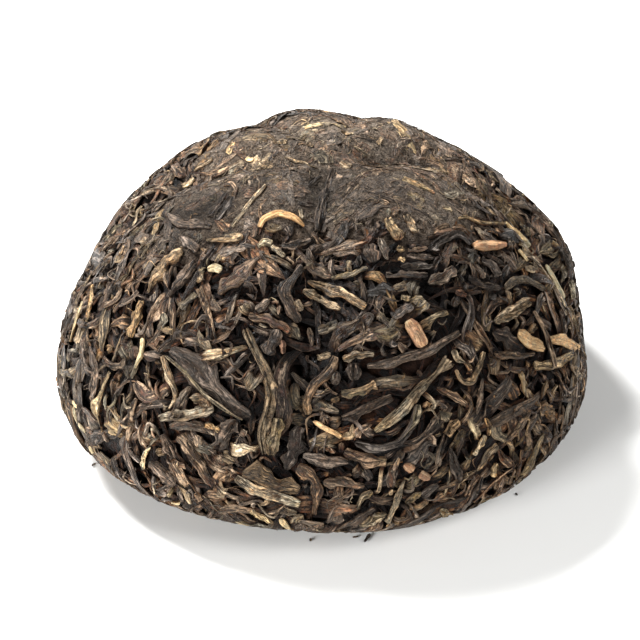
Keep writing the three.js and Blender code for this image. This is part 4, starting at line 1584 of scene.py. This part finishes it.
class TEANEST_OT_shown_leaves(bpy.types.Operator):
    """Lays the leaves that stand out in the photograph"""

    bl_idname = "tea_nest.shown_leaves"
    bl_label = "Leaves that stand out"

    def execute(self, context):
        rng = np.random.default_rng(27)
        colours = context.scene.tea_nest_colours
        lines = np.array([self.line(leaf["way"]) for leaf in SHOWN_LEAVES])
        kinds = [leaf["kind"] for leaf in SHOWN_LEAVES]
        width = np.array([leaf["width"] / PIXELS_PER_MM for leaf in SHOWN_LEAVES])
        thickness = np.clip(0.5 * width, 0.6, 1.15)
        proud = np.array([leaf["proud"] for leaf in SHOWN_LEAVES])
        length = np.linalg.norm(np.diff(dome_point(lines), axis=1), axis=2).sum(axis=1)
        rows = leaf_rows(
            rng, kinds, length, width, thickness, proud, roll=7.0, twist=18.0, curl=0.3, spread=0.08)
        tips = [leaf["tip"] for leaf in SHOWN_LEAVES]
        rows["pale_tip"] = np.array([0.9 if tip else 0.0 for tip in tips])
        rows["tip_tone"] = varied_tones(rng, [tip or "tan" for tip in tips], colours, 0.05)
        pale = np.isin(kinds, BUD_KINDS)
        for look in ("crinkle", "fold", "groove", "mottle"):
            rows[look] = np.where(pale, 0.3, 1.0) * rows[look]
        rows["crinkle"] = rows["crinkle"] * np.clip(length / 7.0, 0.4, 1.0)
        tint_rows(rows, lines[:, LINE_SAMPLES // 2], 0.5)
        laid = Laid()
        lay_leaves(DOME, lines, rows, core_depths(lines), laid, ALL_LAID, on_top=True)
        everything = laid.arrays()
        for name, chosen, look in (("shown_leaves", ~pale, "rolled"), ("shown_buds", pale, "bud")):
            part = {key: values[chosen] for key, values in everything.items()}
            join_leaves(name, rng, part, 20, 14, materials()[look])
        return {"FINISHED"}

    @staticmethod
    def line(way):
        """Directions along a smooth way through pixels of the photograph."""
        way = np.array(way, dtype=float)
        run = np.concatenate([[0.0], np.cumsum(np.linalg.norm(np.diff(way, axis=0), axis=1))])
        at = np.linspace(0.0, run[-1], LINE_SAMPLES)
        smooth = smoothing_matrix(LINE_SAMPLES, 2.2)
        pixels = smooth @ np.stack([np.interp(at, run, way[:, 0]), np.interp(at, run, way[:, 1])], axis=-1)
        return photo_directions(pixels)


class TEANEST_OT_leaf_strips(bpy.types.Operator):
    """Lays the rolled leaves that make up the sides, each kind as one piece"""

    bl_idname = "tea_nest.leaf_strips"
    bl_label = "Rolled leaves"
    # Share of the usual size, tries, share of a leaf that may be crossed, and the level that is filled up.
    layers = ((1.4, 600, 0.6, 9), (1.0, 3000, 0.7, 9), (0.75, 3500, 0.7, 9), (0.55, 7000, 0.85, -0.4))
    lifts = (-62.0, 90.0)
    pale_length = 0.65

    def execute(self, context):
        rng, laid, usual = np.random.default_rng(33), Laid(), usual_sizes()
        for scale, tries, refuse, deepest in self.layers:
            middles = spread_directions(rng, tries, DOME, *self.lifts)
            middles = middles[bed_levels(middles) < deepest]
            middles = middles[rng.random(len(middles)) < 0.04 + 0.96 * looseness(middles)]
            kinds = draw_kinds(rng, KIND_SHARES, len(middles))
            length = uneven(rng, usual["strip_length"] * scale, 0.32, len(middles))
            length = np.where(np.isin(kinds, PALE_KINDS), self.pale_length * length, length)
            middles, length, kinds = clear_of_mouth(DOME, middles, length, kinds)
            loose, count = looseness(middles), len(middles)
            width = uneven(rng, usual["strip_width"] * scale**0.6, 0.36, count)
            width = np.minimum(np.minimum(width, 0.35 * length), 1.7 * usual["strip_width"])
            thickness = np.minimum(uneven(rng, usual["strip_thickness"], 0.2, count), 0.75 * width)
            thickness = thickness * (0.4 + 0.6 * loose)
            cap = loose * (0.4 - 1.3 * rng.random(count) ** 1.5) - (1.0 - loose) * 0.15 * rng.random(count)
            rows = leaf_rows(rng, kinds, length, width, thickness, cap)
            rows["roll"] = rows["roll"] * (0.2 + 0.8 * loose)
            rows["twist"] = rows["twist"] * (0.1 + 0.9 * loose)
            lay_batch(rng, DOME, middles, strip_headings(rng, middles, 0.75), rows, laid, refuse)
        for kind in KIND_SHARES:
            look = "dark" if kind in DARK_KINDS else "woody" if kind in PALE_KINDS else "rolled"
            join_leaves(f"{kind}_leaves", rng, laid.arrays(kind), 14, 12, materials()[look])
        return {"FINISHED"}


# How strongly clumps turn the leaves, and how far leaves stray, less by a share where all agree.
CLUMP_WEIGHT = 0.25
STRAYING = 1.3
STRAYING_AGREED = 0.75


def strip_headings(rng, middles, spread):
    """Headings that agree with the neighbours', as in clumps of leaves and as the photograph shows."""
    lean = ripples(middles, CLUMPS)
    sums = CLUMP_WEIGHT * np.stack([np.cos(2.0 * lean), np.sin(2.0 * lean)], axis=-1)
    for patch in COMBED:
        here, heading = photo_heading(patch["at"], patch["angle"])
        weight = nearness(middles, here, patch["reach"])[:, None]
        sums = sums + weight * np.array([math.cos(2.0 * heading), math.sin(2.0 * heading)])
    agreed = np.clip(np.linalg.norm(sums, axis=1), 0.0, 1.0)
    heading = 0.5 * np.arctan2(sums[:, 1], sums[:, 0])
    return heading + rng.normal(0.0, 1.0, len(middles)) * spread * (STRAYING - STRAYING_AGREED * agreed)


class TEANEST_OT_thin_stems(bpy.types.Operator):
    """Lays the thin stems and torn edges that wind between the leaves"""

    bl_idname = "tea_nest.thin_stems"
    bl_label = "Thin stems"
    tries, lifts = 1500, (-50.0, 75.0)
    usual_length = 6.0
    usual_width = 0.62
    bends = (0.35, 0.14, 0.6)
    shares = {
        "black": 0.12, "slate": 0.18, "umber": 0.2, "brown": 0.2, "olive": 0.14, "moss": 0.08, "ochre": 0.08}

    def execute(self, context):
        rng, laid = np.random.default_rng(39), Laid()
        middles, length = place_leaves(
            rng, DOME, self.tries, self.lifts, self.usual_length, 0.35, share=(0.0, 1.0))
        count = len(middles)
        kinds = draw_kinds(rng, self.shares, count)
        width = uneven(rng, self.usual_width, 0.28, count)
        cap = 0.55 - 0.5 * rng.random(count)
        rows = leaf_rows(
            rng, kinds, length, width, 0.8 * width, cap, tip=0.3, curl=0.2, fold=0.1, groove=0.3, crinkle=0.1)
        lay_batch(rng, DOME, middles, strip_headings(rng, middles, 1.0), rows, laid, 0.75, self.bends)
        join_leaves("thin_stems", rng, laid.arrays(), 12, 6, materials()["rolled"])
        return {"FINISHED"}


class TEANEST_OT_pressed_leaves(bpy.types.Operator):
    """Lays the flat leaves that the cloth pressed into the crown"""

    bl_idname = "tea_nest.pressed_leaves"
    bl_label = "Pressed leaves"
    # Share of the usual size, and tries.
    layers = ((1.2, 500), (0.8, 1000), (0.5, 1000))
    lifts = (26.0, 90.0)
    thickness = 0.18
    shares = {"grey": 0.22, "brown": 0.2, "umber": 0.24, "olive": 0.1, "slate": 0.2, "moss": 0.04}

    def execute(self, context):
        rng, laid, usual = np.random.default_rng(45), Laid(), usual_sizes()
        for scale, tries in self.layers:
            middles = spread_directions(rng, tries, DOME, *self.lifts)
            middles = middles[rng.random(len(middles)) > 1.4 * looseness(middles)]
            count = len(middles)
            length = uneven(rng, usual["flake_length"] * scale, 0.3, count)
            width = uneven(rng, usual["flake_width"] * scale, 0.35, count)
            kinds = draw_kinds(rng, self.shares, count)
            rows = leaf_rows(
                rng, kinds, length, np.minimum(width, length * 0.6), np.full(count, self.thickness),
                -self.thickness * rng.random(count), roll=0.7, twist=1.5, curl=0.1, fold=0.25, groove=0.3,
                crinkle=0.1, pale_tips=0.04, spread=0.12)
            lay_batch(rng, DOME, middles, rng.uniform(0, math.pi, count), rows, laid, 0.8)
        join_leaves("pressed_leaves", rng, laid.arrays(), 8, 10, materials()["pressed"])
        return {"FINISHED"}


class TEANEST_OT_chips(bpy.types.Operator):
    """Lays the small bits of leaf, bud and wood between the leaves"""

    bl_idname = "tea_nest.chips"
    bl_label = "Chips"
    tries, lifts = 2600, (-40.0, 90.0)
    usual_length = 2.6
    shares = {
        "slate": 0.215, "umber": 0.235, "brown": 0.215, "olive": 0.12, "moss": 0.08, "ochre": 0.07,
        "tan": 0.035, "straw": 0.005, "pink": 0.01, "rust": 0.015}

    def execute(self, context):
        rng, laid = np.random.default_rng(51), Laid()
        middles, length = place_leaves(
            rng, DOME, self.tries, self.lifts, self.usual_length, 0.4, share=(0.3, 1.0))
        loose, count = looseness(middles), len(middles)
        kinds = draw_kinds(rng, self.shares, count)
        width = length * rng.uniform(0.35, 0.7, count)
        cap = loose * (0.5 - 0.9 * rng.random(count)) + (1.0 - loose) * 0.1
        rows = leaf_rows(rng, kinds, length, width, 0.25 + 0.3 * loose, cap, tip=0.7, crinkle=0.14)
        lay_batch(rng, DOME, middles, rng.uniform(0, math.pi, count), rows, laid, 0.75)
        join_leaves("chips", rng, laid.arrays(), 6, 8, materials()["rolled"])
        return {"FINISHED"}


class TEANEST_OT_fibres(bpy.types.Operator):
    """Lays the fine pale fibres and hairs on the nest"""

    bl_idname = "tea_nest.fibres"
    bl_label = "Fibres"
    tries, lifts = 9000, (-30.0, 90.0)
    usual_length = 2.6
    usual_width = 0.12
    bends = (0.3, 0.12, 0.5)
    cap = 0.25
    shares = {"grey": 0.5, "brown": 0.32, "straw": 0.15, "bone": 0.03}

    def execute(self, context):
        rng, laid = np.random.default_rng(63), Laid()
        middles = spread_directions(rng, self.tries, DOME, *self.lifts)
        middles = middles[rng.random(len(middles)) < 1.0 - 0.9 * looseness(middles)]
        count = len(middles)
        length = uneven(rng, self.usual_length, 0.4, count)
        kinds = draw_kinds(rng, self.shares, count)
        width = uneven(rng, self.usual_width, 0.25, count)
        cap = np.full(count, self.cap)
        rows = leaf_rows(
            rng, kinds, length, width, width, cap, tip=0.5, twist=5.0, curl=0.0, fold=0.0, groove=0.0)
        lay_batch(rng, DOME, middles, rng.uniform(0, math.pi, count), rows, laid, 0.8, self.bends)
        join_leaves("fibres", rng, laid.arrays(), 6, 3, materials()["woody"])
        return {"FINISHED"}


class TEANEST_OT_lining(bpy.types.Operator):
    """Lines the hollow with leaves"""

    bl_idname = "tea_nest.lining"
    bl_label = "Lining of the hollow"
    # Share of the usual size, and tries.
    layers = ((1.1, 420), (0.75, 600))
    lifts = (6.0, 90.0)
    thickness = 0.6
    core_depth = 1.4
    shares = {"slate": 0.3, "umber": 0.25, "brown": 0.25, "olive": 0.15, "moss": 0.05}

    def execute(self, context):
        rng, laid, usual = np.random.default_rng(57), Laid(), usual_sizes()
        for scale, tries in self.layers:
            middles, length = place_leaves(
                rng, HOLLOW, tries, self.lifts, usual["strip_length"] * scale, 0.3)
            count = len(middles)
            kinds = draw_kinds(rng, self.shares, count)
            width = uneven(rng, usual["strip_width"], 0.28, count)
            cap = 0.15 - 0.4 * rng.random(count)
            thickness = np.full(count, self.thickness)
            rows = leaf_rows(rng, kinds, length, width, thickness, cap, roll=6.0, twist=15.0)
            lay_batch(
                rng, HOLLOW, middles, rng.uniform(0, math.pi, count), rows, laid, 0.7,
                core_depth=lambda lines: np.full(lines.shape[:2], self.core_depth))
        join_leaves("lining_leaves", rng, laid.arrays(), 8, 8, materials()["rolled"])
        return {"FINISHED"}


# Crumbs on the floor, with their headings in degrees.
CRUMBS = (
    {"name": "fallen stem", "kind": "slate", "at": (8.2, -43.4), "heading": 62, "length": 2.4, "width": 0.7},
    {"name": "stem's bit", "kind": "umber", "at": (6.0, -43.0), "heading": 15, "length": 1.1, "width": 0.5},
    {"name": "front speck", "kind": "brown", "at": (-2.5, -43.8), "heading": 80, "length": 0.8, "width": 0.5},
    {"name": "left speck", "kind": "umber", "at": (-44.7, -21.7), "heading": 40, "length": 0.9, "width": 0.5},
    {"name": "right bit", "kind": "slate", "at": (37.0, -30.5), "heading": 120, "length": 0.7, "width": 0.4},
)
CRUMB_LEVEL = 0.45


class TEANEST_OT_crumbs(bpy.types.Operator):
    """Lays the crumbs that have fallen round the foot"""

    bl_idname = "tea_nest.crumbs"
    bl_label = "Crumbs"

    def execute(self, context):
        rng = np.random.default_rng(71)
        kinds = [crumb["kind"] for crumb in CRUMBS]
        length, width, heading = (
            np.array([crumb[key] for crumb in CRUMBS]) for key in ("length", "width", "heading"))
        rows = leaf_rows(rng, kinds, length, width, 0.7 * width, width, curl=0.1, roll=4.0, twist=10.0)
        turn = np.radians(heading)
        ahead = np.stack([np.cos(turn), np.sin(turn), np.zeros(len(CRUMBS))], axis=-1)
        middle = np.array([(*crumb["at"], 0.0) for crumb in CRUMBS])
        along = np.linspace(-0.5, 0.5, LINE_SAMPLES)
        rows["points"] = middle[:, None] + ahead[:, None] * (along * length[:, None])[..., None]
        rows["normals"] = np.broadcast_to([0.0, 0.0, 1.0], rows["points"].shape)
        rows["level"] = np.repeat(CRUMB_LEVEL * width[:, None], LINE_SAMPLES, axis=1)
        join_leaves("crumbs", rng, rows, 7, 7, materials()["dark"])
        return {"FINISHED"}


class TEANEST_PT_panel(bpy.types.Panel):
    """Lists the steps that build the nest"""

    bl_label = "Tea nest"
    bl_idname = "TEANEST_PT_panel"
    bl_space_type = "VIEW_3D"
    bl_region_type = "UI"
    bl_category = "Tea nest"

    def draw(self, context):
        for group in (context.scene.tea_nest_sizes, context.scene.tea_nest_colours):
            box = self.layout.box()
            for name in group.__annotations__:
                box.prop(group, name)
        for step in STEPS:
            self.layout.operator(step.bl_idname)


STEPS = (
    TEANEST_OT_stage,
    TEANEST_OT_core,
    TEANEST_OT_buried_leaves,
    TEANEST_OT_shown_leaves,
    TEANEST_OT_leaf_strips,
    TEANEST_OT_thin_stems,
    TEANEST_OT_pressed_leaves,
    TEANEST_OT_chips,
    TEANEST_OT_fibres,
    TEANEST_OT_lining,
    TEANEST_OT_crumbs,
)
CLASSES = (TeaNestColours, TeaNestSizes, *STEPS, TEANEST_PT_panel)


def register():
    """Registers the classes and the settings."""
    for item in CLASSES:
        bpy.utils.register_class(item)
    bpy.types.Scene.tea_nest_colours = bpy.props.PointerProperty(type=TeaNestColours)
    bpy.types.Scene.tea_nest_sizes = bpy.props.PointerProperty(type=TeaNestSizes)


def unregister():
    """Takes the classes and the settings out again."""
    del bpy.types.Scene.tea_nest_sizes
    del bpy.types.Scene.tea_nest_colours
    for item in reversed(CLASSES):
        bpy.utils.unregister_class(item)


def main():
    """Builds the nest."""
    register()
    for step in STEPS:
        name = step.bl_idname.split(".")[1]
        getattr(bpy.ops.tea_nest, name)()


if __name__ == "__main__":
    main()
